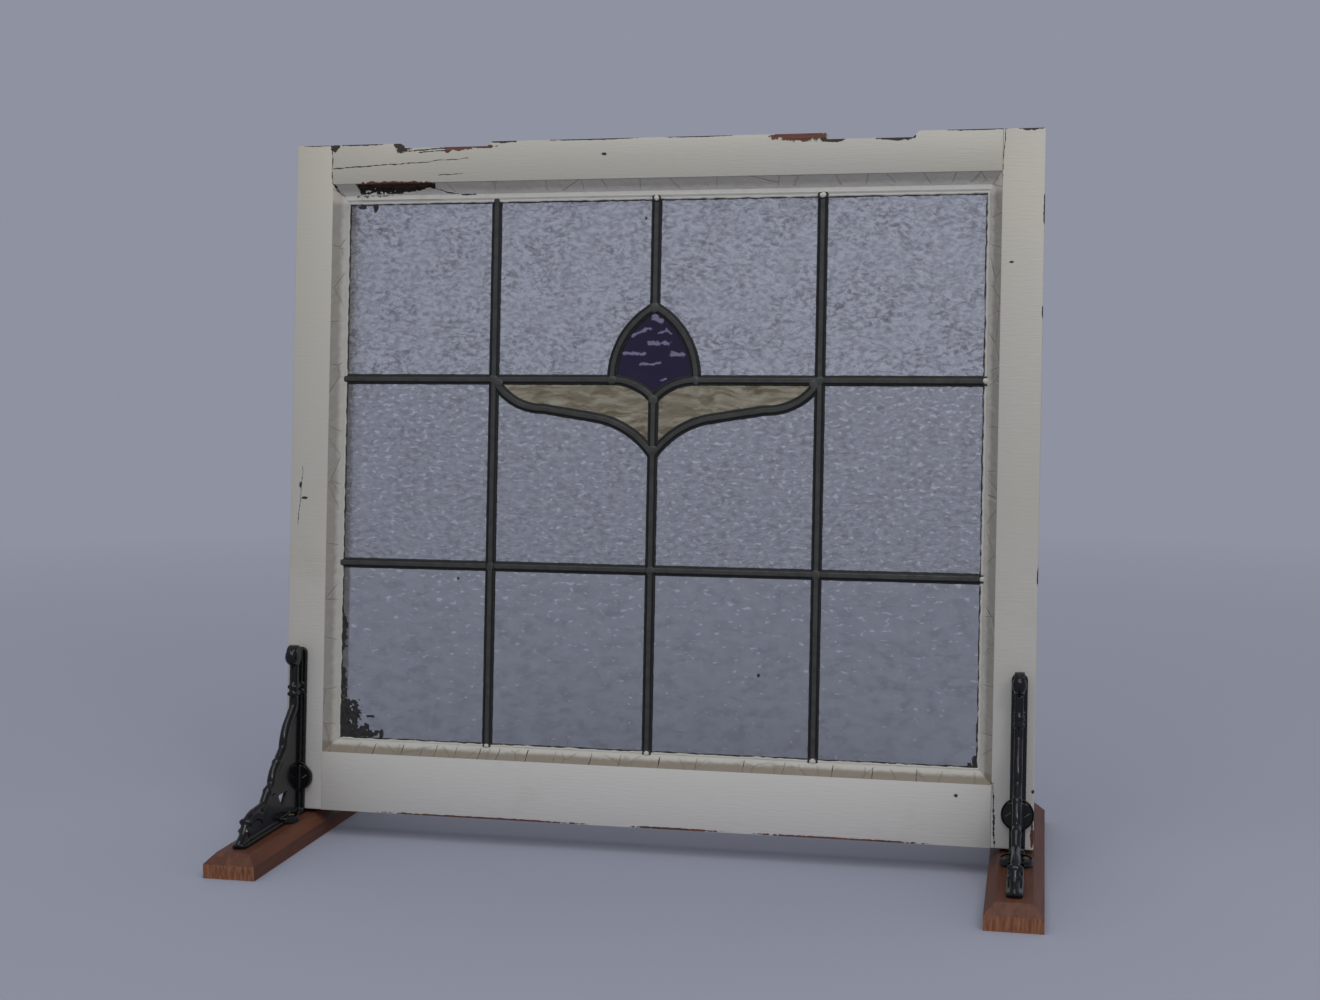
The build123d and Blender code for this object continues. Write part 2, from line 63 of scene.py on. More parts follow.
FEET = ["left_foot", "right_foot"]
BRACKETS = ["front_bracket_left", "front_bracket_right", "back_bracket_left", "back_bracket_right"]


# Places on the sash, read from the frame
def sash_matrix():
    """Matrix from sash places (x along, y up the sash, z out of its face) to the row frame."""
    corners = [vertex.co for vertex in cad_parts["left_stile"].data.vertices]
    foot = min(corners, key=lambda point: point.y)
    head = max(corners, key=lambda point: point.z)
    up = Vector((0, head.y - foot.y, head.z - foot.z)).normalized()
    across = Vector((1, 0, 0))
    turned = Matrix((across, up, across.cross(up))).transposed().to_4x4()
    return Matrix.Translation((0, foot.y, foot.z)) @ turned


SASH = sash_matrix()
SASH_BACK = SASH.inverted()


def sash_box(name):
    """Lowest and highest corner of a node in sash places."""
    points = [SASH_BACK @ vertex.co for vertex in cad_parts[name].data.vertices]
    low = Vector([min(point[axis] for point in points) for axis in range(3)])
    high = Vector([max(point[axis] for point in points) for axis in range(3)])
    return low, high


def middle(name):
    low, high = sash_box(name)
    return (low + high) / 2


STILE = sash_box("left_stile")
TOP = STILE[1].y
COLUMN_X = middle("column_came_right").x
LOWER_LINE = middle("lower_row_came").y
UPPER_LINE = middle("outer_row_came").y
CAME_BACK, CAME_FACE = (corner.z for corner in sash_box("column_came_left"))
GLASS_BACK, GLASS_FACE = (corner.z for corner in sash_box("top_pane_1"))
WALL_X, PUTTY_INNER_X = (-corner.x for corner in sash_box("putty_left"))
PUTTY_EDGE = -sash_box("putty_left")[1].z
PUTTY_TOP_INNER, WALL_TOP = (corner.y for corner in sash_box("putty_top"))
WALL_BOTTOM, PUTTY_BOTTOM_INNER = (corner.y for corner in sash_box("putty_bottom"))
LIP_WIDTH = 0.0060
LIP_RISE = 0.0022
LIP_FACE = GLASS_FACE + LIP_RISE
LUG_DISTANCE = 0.0340
LUG_THICKNESS = 0.0055
LUG_RADIUS = 0.0136
SCREW_INSET = 0.0064
WELD = 0.00001
FLAT = (1.0, 1.0, 0.0)


# Settings that a user would change
def colour(name, value, description):
    return bpy.props.FloatVectorProperty(name=name, description=description, subtype="COLOR", size=3,
                                         min=0, max=1, default=value)


def length(name, value, description):
    return bpy.props.FloatProperty(name=name, description=description, default=value, min=0,
                                   subtype="DISTANCE", unit="LENGTH", precision=4)


class TimberSettings(bpy.types.PropertyGroup):
    paint: colour("Paint", (0.410, 0.397, 0.358), "Old cream paint on the timber")
    putty: colour("Putty", (0.420, 0.407, 0.368), "Old paint on the putty")
    # Painted shade: the fold colour darkens the putty where it meets the timber.
    fold_shade: colour("Fold", (0.265, 0.247, 0.217), "Dirtier paint where the putty meets the timber")
    dust: colour("Dust", (0.120, 0.122, 0.100), "Dusty old putty in the broken length")
    grime: colour("Grime", (0.250, 0.215, 0.165), "Dirt that has settled in the paint")
    bare_wood: colour("Bare wood", (0.165, 0.062, 0.036), "Reddish wood where the paint is gone")
    # The void colour is also painted shade: the black on the bed of the lost putty.
    void: colour("Void", (0.010, 0.007, 0.006), "Deep cracks and holes")
    chip: colour("Chip", (0.034, 0.026, 0.023), "Dark old coat where the paint has chipped off")
    # The residue colour also paints the shadow line along the inner edge of the putty.
    black_residue_and_shadow: colour("Residue", (0.027, 0.027, 0.028), "Old black paint left on the glass")
    arris: length("Arris radius", 0.0009, "Rounding of the timber edges")


class LeadSettings(bpy.types.PropertyGroup):
    lead: colour("Lead", (0.066, 0.066, 0.060), "Oxidised lead of the cames")
    # Painted shade: the flank colour darkens each came below its crown.
    flank_shade: colour("Flank", (0.004, 0.004, 0.004), "Blackened lead below the crown of a came")
    solder: colour("Solder", (0.074, 0.075, 0.069), "Tin solder at the joints")
    cement: colour("Cement", (0.018, 0.019, 0.018), "Black cement beside the cames")
    solder_radius: length("Solder radius", 0.0043, "Reach of a soldered joint from its centre")
    solder_height: length("Solder height", 0.0008, "Rise of a soldered joint above the came")
    cement_reach: length("Cement reach", 0.0034, "Half width of the cement line at a pane edge")


class GlassSettings(bpy.types.PropertyGroup):
    clear: colour("Clear glass", (0.600, 0.615, 0.620), "Tint of the clear textured glass")
    # Painted highlight: the fleck colour lightens the ripple crests and flecks of the clear glass.
    fleck_highlight: colour("Fleck", (0.980, 0.985, 1.000), "Bright ripples of the clear glass")
    purple: colour("Purple glass", (0.031, 0.021, 0.066), "Body of the purple bud glass")
    # Painted reflection: the lilac colour of the strokes and mottles on the purple glass.
    lilac_reflection: colour("Lilac streak", (0.440, 0.390, 0.510), "Streaks in the purple glass")
    amber: colour("Amber glass", (0.330, 0.262, 0.135), "Body of the leaf glass")
    straw: colour("Straw streak", (0.760, 0.690, 0.470), "Streaks in the leaf glass")


class FittingSettings(bpy.types.PropertyGroup):
    iron: colour("Iron", (0.004, 0.004, 0.004), "Black japanned cast iron")
    iron_wear: colour("Worn iron", (0.040, 0.037, 0.033), "Iron where the japan has worn thin")
    steel: colour("Screw steel", (0.300, 0.270, 0.215), "Worn steel of the screw heads")
    steel_dark: colour("Dark steel", (0.110, 0.098, 0.078), "Tarnish on the screw heads")
    hardwood: colour("Hardwood", (0.128, 0.044, 0.021), "Reddish brown hardwood of the feet")
    hardwood_dark: colour("Hardwood grain", (0.062, 0.023, 0.013), "Dark grain of the feet")
    end_grain: colour("End grain", (0.250, 0.106, 0.053), "Lighter cut ends of the feet")
    casting: length("Casting voxel", 0.0009, "Fineness of the rounded casting")
    screw_radius: length("Screw radius", 0.0032, "Radius of the bracket screw heads")


class StageSettings(bpy.types.PropertyGroup):
    backdrop: colour("Backdrop", (0.275, 0.287, 0.355), "Pale floor, and the room behind it")
    daylight: colour("Daylight", (0.940, 0.960, 1.000), "Soft light from all round")
    daylight_strength: bpy.props.FloatProperty(
        name="Daylight strength", description="Brightness of the light from all round", default=0.66)
    camera_place: bpy.props.FloatVectorProperty(
        name="Camera place", description="Where the camera stands", subtype="TRANSLATION",
        unit="LENGTH", size=3, default=(0.3523, -1.5803, 0.4624))
    camera_turn: bpy.props.FloatVectorProperty(
        name="Camera turn", description="Camera rotation", subtype="EULER", unit="ROTATION", size=3,
        default=(pi / 2 - 0.0850, 0, 0.2119))
    camera_lens: bpy.props.FloatProperty(name="Lens", description="Focal length on a 36 mm sensor",
                                         default=48.64, unit="CAMERA")


# Node trees
class Nodes:
    """A node tree that is being built. Most calls add one node and give back one of its outputs."""

    def __init__(self, tree):
        self.tree = tree

    def __getitem__(self, label):
        """One of the group's own inputs."""
        return self.given[label]

    def connect(self, node, values):
        """Sets inputs of a node, each from a constant or from the output of another node."""
        for key, value in values.items():
            if isinstance(value, bpy.types.NodeSocket):
                self.tree.links.new(value, node.inputs[key])
            else:
                node.inputs[key].default_value = value

    def add(self, kind, values=None, output=0, **settings):
        node = self.tree.nodes.new(kind)
        for key, value in settings.items():
            setattr(node, key, value)
        self.connect(node, values or {})
        return node.outputs[output]

    def math(self, operation, *values, clamp=False):
        return self.add("ShaderNodeMath", dict(enumerate(values)), operation=operation,
                        use_clamp=clamp)

    def vector(self, operation, *values):
        output = "Value" if operation in ("LENGTH", "DOT_PRODUCT") else "Vector"
        return self.add("ShaderNodeVectorMath", dict(enumerate(values)), output, operation=operation)

    def scaled(self, vector, scale):
        return self.add("ShaderNodeVectorMath", {0: vector, "Scale": scale}, operation="SCALE")

    def part(self, vector, axis):
        return self.add("ShaderNodeSeparateXYZ", {0: vector}, axis)

    def joined(self, *parts):
        return self.add("ShaderNodeCombineXYZ", dict(enumerate(parts)))

    def mix(self, share, first, second):
        """Mixes two colours, each the output of a node or three numbers."""
        first, second = (value if isinstance(value, bpy.types.NodeSocket) else (*value, 1)
                         for value in (first, second))
        return self.add("ShaderNodeMix", {0: share, 6: first, 7: second}, 2, data_type="RGBA")

    def ramp(self, value, low, high, new_low=0.0, new_high=1.0):
        return self.add("ShaderNodeMapRange", {"Value": value, "From Min": low, "From Max": high,
                                               "To Min": new_low, "To Max": new_high})

    def noise(self, vector, scale, detail=3.0, roughness=0.55, distortion=0.0, output=0):
        return self.add("ShaderNodeTexNoise", {"Vector": vector, "Scale": scale, "Detail": detail,
                                               "Roughness": roughness, "Distortion": distortion}, output)

    def group(self, name, **values):
        """Outputs of a shared group that is set up with these values."""
        node = self.tree.nodes.new("ShaderNodeGroup")
        node.node_tree = GROUPS[name]
        self.connect(node, values)
        return node.outputs

    def object_place(self):
        return self.add("ShaderNodeTexCoord", output="Object")

    def sash_place(self):
        return self.group("sash_place")["Place"]

    def rough(self, place, scale):
        """Noise about 0 that several patches or cracks share."""
        return self.math("SUBTRACT", self.noise(place, scale, 4.0, 0.62), 0.5)

    def widest(self, masks):
        return reduce(lambda first, second: self.math("MAXIMUM", first, second), masks)

    def spots(self, place, rough, marks, ragged):
        """One mask for several ragged patches, each a centre and a reach in sash places."""
        return self.widest([self.group("ragged_spot", Place=place, Rough=rough, Centre=centre,
                                       Reach=reach, Ragged=ragged)["Mask"] for centre, reach in marks])

    def cracks(self, place, rough, lines):
        """One mask for several cracks that wander a little, each a start, an end and a width."""
        sway = self.vector("SUBTRACT", self.noise(place, 70.0, 3.0, output=1), (0.5, 0.5, 0.5))
        bent = self.vector("MULTIPLY_ADD", sway, (0.0035, 0.0035, 0.0), place)
        return self.widest([self.group("crack", Place=bent, Rough=rough, Start=start, End=end,
                                       Width=width)["Mask"] for start, end, width in lines])

    def close(self, **results):
        """Gives a group its results, and returns its tree."""
        end = self.tree.nodes.new("NodeGroupOutput")
        self.connect(end, results)
        return self.tree


SOCKETS = {float: "Float", int: "Int", tuple: "Vector"}


def new_group(name, inputs, outputs, kind="ShaderNodeTree"):
    """Group with named inputs, each typed by its default or its label, and typed outputs."""
    tree = bpy.data.node_groups.new(name, kind)
    for label, value in inputs.items():
        made = tree.interface.new_socket(label, in_out="INPUT",
                                         socket_type="NodeSocket" + SOCKETS.get(type(value), label))
        if value is not None:
            made.default_value = value
    for label, socket_kind in outputs.items():
        tree.interface.new_socket(label, in_out="OUTPUT", socket_type="NodeSocket" + socket_kind)
    nodes = Nodes(tree)
    nodes.given = tree.nodes.new("NodeGroupInput").outputs
    return nodes


# Shader effects that several finishes share
def sash_place_group():
    """Object coordinates turned into sash places: along, up the sash, out of its face."""
    group = new_group("sash_place", {}, {"Place": "Vector"})
    return group.close(Place=group.add(
        "ShaderNodeMapping", {"Vector": group.object_place(), "Location": SASH.to_translation(),
                              "Rotation": SASH.to_euler()}, vector_type="TEXTURE"))


def spot_group():
    """Ragged patch about a centre: 1 inside and 0 outside. Rough is a shared noise about 0."""
    group = new_group("ragged_spot", {"Place": (0, 0, 0), "Rough": 0.0, "Centre": (0, 0, 0),
                                      "Reach": (0.01, 0.01, 0.01), "Ragged": 0.6}, {"Mask": "Float"})
    apart = group.vector("SUBTRACT", group["Place"], group["Centre"])
    far = group.vector("LENGTH", group.vector("DIVIDE", apart, group["Reach"]))
    shifted = group.math("MULTIPLY_ADD", group["Rough"], group["Ragged"], far)
    return group.close(Mask=group.ramp(shifted, 1.05, 0.95))


def crack_group():
    """Thin crack from one place to another, as wide as Width where the shared noise is strong."""
    group = new_group("crack", {"Place": (0, 0, 0), "Rough": 0.0, "Start": (0, 0, 0),
                                "End": (0.1, 0, 0), "Width": 0.0005}, {"Mask": "Float"})
    run = group.vector("SUBTRACT", group["End"], group["Start"])
    apart = group.vector("SUBTRACT", group["Place"], group["Start"])
    share = group.math("DIVIDE", group.vector("DOT_PRODUCT", apart, run),
                       group.vector("DOT_PRODUCT", run, run), clamp=True)
    far = group.vector("LENGTH", group.vector("SUBTRACT", apart, group.scaled(run, share)))
    wide = group.math("MULTIPLY", group["Width"], group.ramp(group["Rough"], -0.16, 0.12, 0.15, 1.6))
    return group.close(Mask=group.math("LESS_THAN", far, wide))


def grime_group():
    """Soft dirt: broad clouds broken by fine specks."""
    group = new_group("grime", {"Place": (0, 0, 0), "Cover": 0.5, "Size": 9.0}, {"Mask": "Float"})
    clouds = group.noise(group["Place"], group["Size"], 5.0, 0.62, 0.4)
    specks = group.noise(group["Place"], 310.0, 3.0, 0.7)
    low = group.math("SUBTRACT", 0.78, group.math("MULTIPLY", group["Cover"], 0.42))
    cloud_mask = group.ramp(clouds, low, group.math("ADD", low, 0.22))
    speck_mask = group.ramp(specks, 0.42, 0.66, 0.35, 1.0)
    return group.close(Mask=group.math("MULTIPLY", cloud_mask, speck_mask))


def ripple_group():
    """Rolled glass: mottles drawn out along one way, and their bright crests between two heights."""
    group = new_group("glass_ripple", {"Place": (0, 0, 0), "Stretch": (1.0, 1.7, 1.0), "Size": 90.0,
                                       "Low": 0.65, "High": 0.85}, {"Height": "Float", "Crest": "Float"})
    drawn = group.vector("MULTIPLY", group["Place"], group["Stretch"])
    warp = group.noise(group["Place"], 38.0, 2.0, 0.5, output=1)
    bent = group.vector("MULTIPLY_ADD", warp, (0.012, 0.020, 0.0), drawn)
    broad = group.noise(bent, group["Size"], 3.0, 0.6, 0.3)
    fine = group.noise(bent, group.math("MULTIPLY", group["Size"], 2.8), 3.0, 0.6)
    height = group.math("MULTIPLY_ADD", fine, 0.45, broad)
    return group.close(Height=height, Crest=group.ramp(height, group["Low"], group["High"]))


def fleck_group():
    """Short pale flecks of painted highlight that lie across the pane. A lower Spread leaves fewer of
    them.
    """
    group = new_group("glass_flecks", {"Place": (0, 0, 0), "Size": 200.0, "Spread": 0.3},
                      {"Mask": "Float"})
    drawn = group.vector("MULTIPLY", group["Place"], (0.70, 1.30, 0.0))
    cells = group.noise(drawn, group["Size"], 1.5, 0.5, 0.25)
    edge = group.math("SUBTRACT", 0.80, group.math("MULTIPLY", group["Spread"], 0.5))
    return group.close(Mask=group.ramp(group.math("SUBTRACT", cells, edge), 0.0, 0.10))


def grain_group():
    """Wood grain along one axis, with pores."""
    group = new_group("wood_grain", {"Place": (0, 0, 0), "Stretch": (1, 1, 1), "Size": 60.0},
                      {"Band": "Float", "Pore": "Float"})
    drawn = group.vector("MULTIPLY", group["Place"], group["Stretch"])
    band = group.noise(drawn, group["Size"], 4.0, 0.6, 0.8)
    pores = group.noise(drawn, group.math("MULTIPLY", group["Size"], 9.0), 2.0, 0.6)
    return group.close(Band=group.ramp(band, 0.3, 0.7), Pore=group.ramp(pores, 0.56, 0.68))


GROUPS = {tree.name: tree for tree in (sash_place_group(), spot_group(), crack_group(), grime_group(),
                                       ripple_group(), fleck_group(), grain_group())}


# Finishes
class Finish(Nodes):
    """A material that is being built round one shader."""

    def __init__(self, name, preview):
        self.material = bpy.data.materials.new(name)
        self.material.use_nodes = True
        self.material.diffuse_color = (*preview, 1)
        super().__init__(self.material.node_tree)
        self.tree.nodes.clear()
        self.shader = self.tree.nodes.new("ShaderNodeBsdfPrincipled")
        self.end = self.tree.nodes.new("ShaderNodeOutputMaterial")
        self.tree.links.new(self.shader.outputs[0], self.end.inputs[0])

    def shade(self, values):
        self.connect(self.shader, values)

    def bump(self, height, strength, distance, under=None):
        """Relief from a height, on top of an earlier relief where one is given."""
        values = {"Height": height, "Strength": strength, "Distance": distance}
        if under is not None:
            values["Normal"] = under
        relief = self.add("ShaderNodeBump", values)
        self.shade({"Normal": relief})
        return relief


def tinted(colour, *shares):
    """A colour times one share, or times a share for each of its three parts."""
    return [part * shares[index % len(shares)] for index, part in enumerate(colour)]


def glass_material(name, body, pale, roughness, mottle, relief, flecks=None, strokes=None,
                   drawn=(1.0, 1.7, 1.0), shade_share=0.4):
    """Rolled glass with paler mottles, and with flecks or placed strokes where it has them, painted
    highlights and reflections in the clear and purple glass, and darker clouds of painted shade.
    """
    glass = Finish(name, body)
    place = glass.sash_place()
    flat = glass.vector("MULTIPLY", place, FLAT)
    size, low, high, share = mottle
    ripple = glass.group("glass_ripple", Place=place, Stretch=drawn, Size=size, Low=low, High=high)
    crest = glass.math("MULTIPLY", ripple["Crest"], share)
    if flecks:
        size, foot, head, sparse, dense = flecks
        spread = glass.ramp(glass.part(place, 1), foot, head, sparse, dense)
        fleck_highlight = glass.group("glass_flecks", Place=place, Size=size, Spread=spread)["Mask"]
        crest = glass.math("MAXIMUM", crest, fleck_highlight)
    if strokes:
        crest = glass.math("MAXIMUM", crest, glass.cracks(flat, glass.rough(flat, 260.0), strokes))
    # Painted highlights and reflections: paler colour on the crests, flecks and strokes of the clear and
    # purple glass; in the amber glass it gives the streaks.
    streaked = glass.mix(crest, body, pale)
    # Painted shade: darker clouds where the ripples are low.
    cloud = glass.ramp(glass.noise(flat, 24.0, 3.0, 0.6), 0.60, 0.38, 0.15, 1.0)
    dark = glass.math("MULTIPLY", glass.ramp(ripple["Height"], 0.70, 0.60, 0.0, shade_share), cloud)
    glass.shade({"Base Color": glass.mix(dark, streaked, tinted(body, 0.45)), "Roughness": roughness,
                 "IOR": 1.48, "Transmission Weight": 1.0})
    glass.bump(ripple["Height"], 0.6, relief)
    return glass.material


def finish_nodes(names, material):
    for name in names:
        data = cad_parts[name].data
        data.materials.clear()
        data.materials.append(material)


# Damage to the paint, in sash places: x from the middle, then how far up the sash
BLACK_CHIPS = [((x, s, 0), (wide, tall, deep)) for x, s, wide, tall, deep in (
    (-0.3115, TOP - 0.001, 0.0052, 0.0052, 0.012), (-0.2440, TOP - 0.002, 0.0085, 0.0062, 0.010),
    (-0.3300, TOP, 0.0140, 0.0010, 0.010), (-0.2850, TOP, 0.0200, 0.0012, 0.010),
    (-0.1450, TOP, 0.0130, 0.0017, 0.006), (-0.0600, TOP, 0.0420, 0.0011, 0.006),
    (0.0400, TOP, 0.0300, 0.0009, 0.006), (0.1620, TOP - 0.0060, 0.0110, 0.0022, 0.012),
    (0.2200, TOP - 0.0055, 0.0170, 0.0026, 0.012), (0.2900, TOP, 0.0260, 0.0010, 0.006),
    (0.3380, TOP, 0.0110, 0.0022, 0.012), (0.3500, 0.560, 0.0012, 0.0120, 0.006),
    (0.3500, 0.470, 0.0010, 0.0060, 0.006), (0.3500, 0.240, 0.0010, 0.0080, 0.006),
    (0.3115, 0.590, 0.0022, 0.0026, 0.004), (0.2826, 0.0442, 0.0016, 0.0016, 0.004),
    (0.3118, 0.0571, 0.0018, 0.0018, 0.004), (0.3489, 0.0511, 0.0016, 0.0016, 0.004),
    (0.3225, 0.5145, 0.0021, 0.0009, 0.004), (-0.0480, 0.6177, 0.0024, 0.0012, 0.004),
    (-0.3400, 0.3080, 0.0016, 0.0030, 0.004), (-0.3360, 0.2960, 0.0032, 0.0012, 0.004))]
BARE_PATCHES = [((x, s, z), (wide, tall, deep)) for x, s, z, wide, tall, deep in (
    (0.1330, TOP - 0.0015, 0, 0.0245, 0.0052, 0.022),
    (-0.1890, TOP - 0.0052, 0, 0.0150, 0.0024, 0.022),
    (-0.1640, TOP - 0.0045, 0, 0.0120, 0.0018, 0.022),
    (-0.1990, TOP - 0.0075, 0, 0.0035, 0.0024, 0.006),
    (-0.2510, WALL_TOP, -0.0060, 0.0410, 0.0020, 0.0085), (0.0300, 0.0008, 0, 0.0420, 0.0010, 0.010),
    (-0.1500, 0.0006, 0, 0.0900, 0.0010, 0.010), (0.1800, 0.0006, 0, 0.0700, 0.0010, 0.010),
    (0.3486, 0.0130, 0, 0.0015, 0.0110, 0.010))]
PAINT_CRACKS = [((x, s, 0), (end_x, end_s, 0), width) for x, s, end_x, end_s, width in (
    (-0.3136, 0.6095, -0.2364, 0.6135, 0.00045), (-0.2364, 0.6135, -0.1790, 0.6170, 0.00030),
    (-0.2380, 0.6250, -0.2010, 0.6268, 0.00050), (-0.2280, 0.6234, -0.2020, 0.6246, 0.00040),
    (-0.2080, 0.6015, -0.1840, 0.6030, 0.00030), (-0.3138, 0.5950, -0.3142, TOP, 0.00042),
    (0.3132, 0.5950, 0.3152, TOP, 0.00032), (0.3158, 0.0055, 0.3160, 0.0145, 0.00080),
    (0.3159, 0.0164, 0.3156, 0.0290, 0.00085), (0.3155, 0.0305, 0.3153, 0.0364, 0.00070),
    (0.3152, 0.0400, 0.3150, 0.0455, 0.00065), (0.3162, 0.0000, 0.3146, 0.0570, 0.00024),
    (-0.3420, 0.2700, -0.3380, 0.3250, 0.00025))]


def paint_material(settings):
    """Cream paint: paler towards the foot as painted light, dirty in patches, chipped and cracked where
    it is marked.
    """
    paint = Finish("old_cream_paint", settings.paint)
    place = paint.sash_place()
    rough = paint.rough(place, 190.0)
    warm = paint.mix(paint.ramp(paint.noise(place, 4.0, 3.0), 0.35, 0.65), settings.paint,
                     tinted(settings.paint, 1.03, 1.01, 0.94))
    # Painted light: the paint is paler and bluer towards the foot of the sash.
    lit_foot_share = paint.ramp(paint.part(place, 1), 0.300, 0.020)
    paler = paint.mix(lit_foot_share, warm, tinted(settings.paint, 1.22, 1.22, 1.30))
    grime = paint.group("grime", Place=place, Cover=0.45, Size=7.0)["Mask"]
    dirty = paint.mix(paint.math("MULTIPLY", grime, 0.45), paler, settings.grime)
    grain = paint.group("wood_grain", Place=place, Stretch=(0.10, 1.0, 1.0), Size=300.0)
    wood = paint.mix(grain["Band"], tinted(settings.bare_wood, 0.35), settings.bare_wood)
    bare = paint.spots(place, rough, BARE_PATCHES, 2.2)
    holes = paint.widest([paint.spots(place, rough, BLACK_CHIPS, 1.8),
                          paint.cracks(place, rough, PAINT_CRACKS)])
    lost = paint.math("MAXIMUM", bare, holes)
    paint.shade({"Base Color": paint.mix(holes, paint.mix(bare, dirty, wood), settings.chip),
                 "Roughness": paint.ramp(lost, 0, 1, 0.42, 0.85)})
    brush = paint.noise(paint.vector("MULTIPLY", place, (1.0, 9.0, 9.0)), 60.0, 4.0)
    fine = paint.bump(brush, 0.35, 0.0006)
    paint.bump(paint.math("SUBTRACT", 1.0, lost), 0.9, 0.0007, fine)
    return paint.material


def top_slope(s):
    """Height of the top putty's surface: a flat lip, then a slope up to the timber."""
    climb = max(0.0, (s - PUTTY_TOP_INNER - LIP_WIDTH) / (WALL_TOP - PUTTY_TOP_INNER - LIP_WIDTH))
    return LIP_FACE + climb * (-PUTTY_EDGE - LIP_FACE)


def putty_cracks():
    """Mitre crack in the top left corner, and the crack that runs on from the broken length."""
    corner = (-WALL_X, WALL_TOP, -PUTTY_EDGE), (-PUTTY_INNER_X, PUTTY_TOP_INNER, LIP_FACE), 0.00075
    run = [(x, PUTTY_TOP_INNER + up, top_slope(PUTTY_TOP_INNER + up)) for x, up in
           ((-0.2150, 0.0118), (-0.2020, 0.0078), (-0.1860, 0.0060), (-0.1740, 0.0052))]
    return [corner] + [(start, end, 0.00050) for start, end in zip(run, run[1:])]


def cross_cracks():
    """Fine cracks across the bottom putty, each at its own place along it."""
    places = (-0.2630, -0.2350, -0.2160, -0.2020, -0.1820, -0.1590, -0.1410, -0.1130, -0.0860,
              -0.0520, -0.0240, 0.0130, 0.0480, 0.0910, 0.1280, 0.1720, 0.2080, 0.2470)
    widths = (0.00022, 0.00028, 0.00018, 0.00026, 0.00020, 0.00034)
    low, high = WALL_BOTTOM + 0.0002, WALL_BOTTOM + 0.0092
    return [((x, low, 0), (x + 0.0006, high, 0), widths[i % len(widths)])
            for i, x in enumerate(places)]


def putty_material(settings):
    """Painted putty: paler at the glass and on the top fillet as painted light, darker in its fold as
    painted shade, darker again at the foot, and cracked across.
    """
    putty = Finish("painted_putty", settings.putty)
    place = putty.sash_place()
    flat = putty.vector("MULTIPLY", place, FLAT)
    rough = putty.rough(place, 110.0)
    side = putty.math("SUBTRACT", WALL_X, putty.math("ABSOLUTE", putty.part(place, 0)))
    above = putty.math("SUBTRACT", WALL_TOP, putty.part(place, 1))
    below = putty.math("SUBTRACT", putty.part(place, 1), WALL_BOTTOM)
    wall = putty.math("MINIMUM", side, putty.math("MINIMUM", above, below))
    uneven = putty.math("MULTIPLY_ADD", rough, 0.004, wall)
    # Painted light: lighter copies of the fold and the putty on the top fillet, and the putty paler
    # towards the glass than in its fold of painted shade.
    top = putty.ramp(above, 0.020, 0.015)
    shaded = putty.mix(top, settings.fold_shade, tinted(settings.fold_shade, 1.65))
    pale = putty.mix(top, settings.putty, tinted(settings.putty, 1.35))
    lit_and_shaded_putty = putty.mix(putty.ramp(uneven, 0.0052, 0.0082), shaded, pale)
    # Darker and browner again along the wall at the foot.
    foot = putty.math("MULTIPLY", putty.ramp(below, 0.0110, 0.0085),
                      putty.ramp(uneven, 0.0070, 0.0045))
    darker_foot = putty.mix(foot, lit_and_shaded_putty, tinted(settings.fold_shade, 0.74, 0.68, 0.60))
    grime = putty.group("grime", Place=place, Cover=0.6, Size=30.0)["Mask"]
    dirty = putty.mix(putty.math("MULTIPLY", grime, 0.35), darker_foot, settings.grime)
    cells = putty.add("ShaderNodeTexVoronoi", {"Vector": flat, "Scale": 26.0},
                      feature="DISTANCE_TO_EDGE")
    wavy = putty.math("MULTIPLY_ADD", rough, 0.03, cells)
    split = putty.math("MULTIPLY", putty.ramp(wavy, 0.014, 0.006),
                       putty.ramp(uneven, 0.0095, 0.0080))
    opened = putty.widest([putty.cracks(place, rough, putty_cracks()),
                           putty.cracks(flat, rough, cross_cracks())])
    lined = putty.mix(putty.math("MULTIPLY", split, 0.30), dirty, settings.grime)
    putty.shade({"Base Color": putty.mix(opened, lined, settings.void), "Roughness": 0.55})
    fine = putty.bump(putty.noise(place, 95.0, 5.0), 0.7, 0.0018)
    putty.bump(putty.math("SUBTRACT", 1.0, putty.widest([split, opened])), 0.8, 0.0007, fine)
    return putty.material


def plain_material(name, base, dark, scale, roughness, relief, metallic=0.0):
    """Mottled surface between two colours, with relief from the same noise."""
    plain = Finish(name, base)
    mottle = plain.noise(plain.sash_place(), scale, 5.0, 0.65)
    plain.shade({"Base Color": plain.mix(plain.ramp(mottle, 0.35, 0.65), dark, base),
                 "Roughness": roughness, "Metallic": metallic})
    plain.bump(mottle, 0.7, relief)
    return plain.material


def void_material(settings):
    """Bed of the lost putty: red wood above, black painted shade below it and dusty putty at the glass.
    """
    void = Finish("putty_void", settings.void)
    place = void.sash_place()
    rough = void.rough(place, 170.0)
    shifted = void.math("MULTIPLY_ADD", rough, 0.007, void.part(place, 1))
    low = void.ramp(shifted, PUTTY_TOP_INNER + 0.0062, PUTTY_TOP_INNER + 0.0076)
    top = void.ramp(shifted, WALL_TOP - 0.0036, WALL_TOP - 0.0026)
    # Painted shade: black on the bed between the red wood and the dust.
    dust_and_shade = void.mix(low, settings.dust, settings.void)
    void.shade({"Base Color": void.mix(top, dust_and_shade, tinted(settings.bare_wood, 0.32)),
                "Roughness": 0.9})
    void.bump(rough, 0.9, 0.0020)
    return void.material


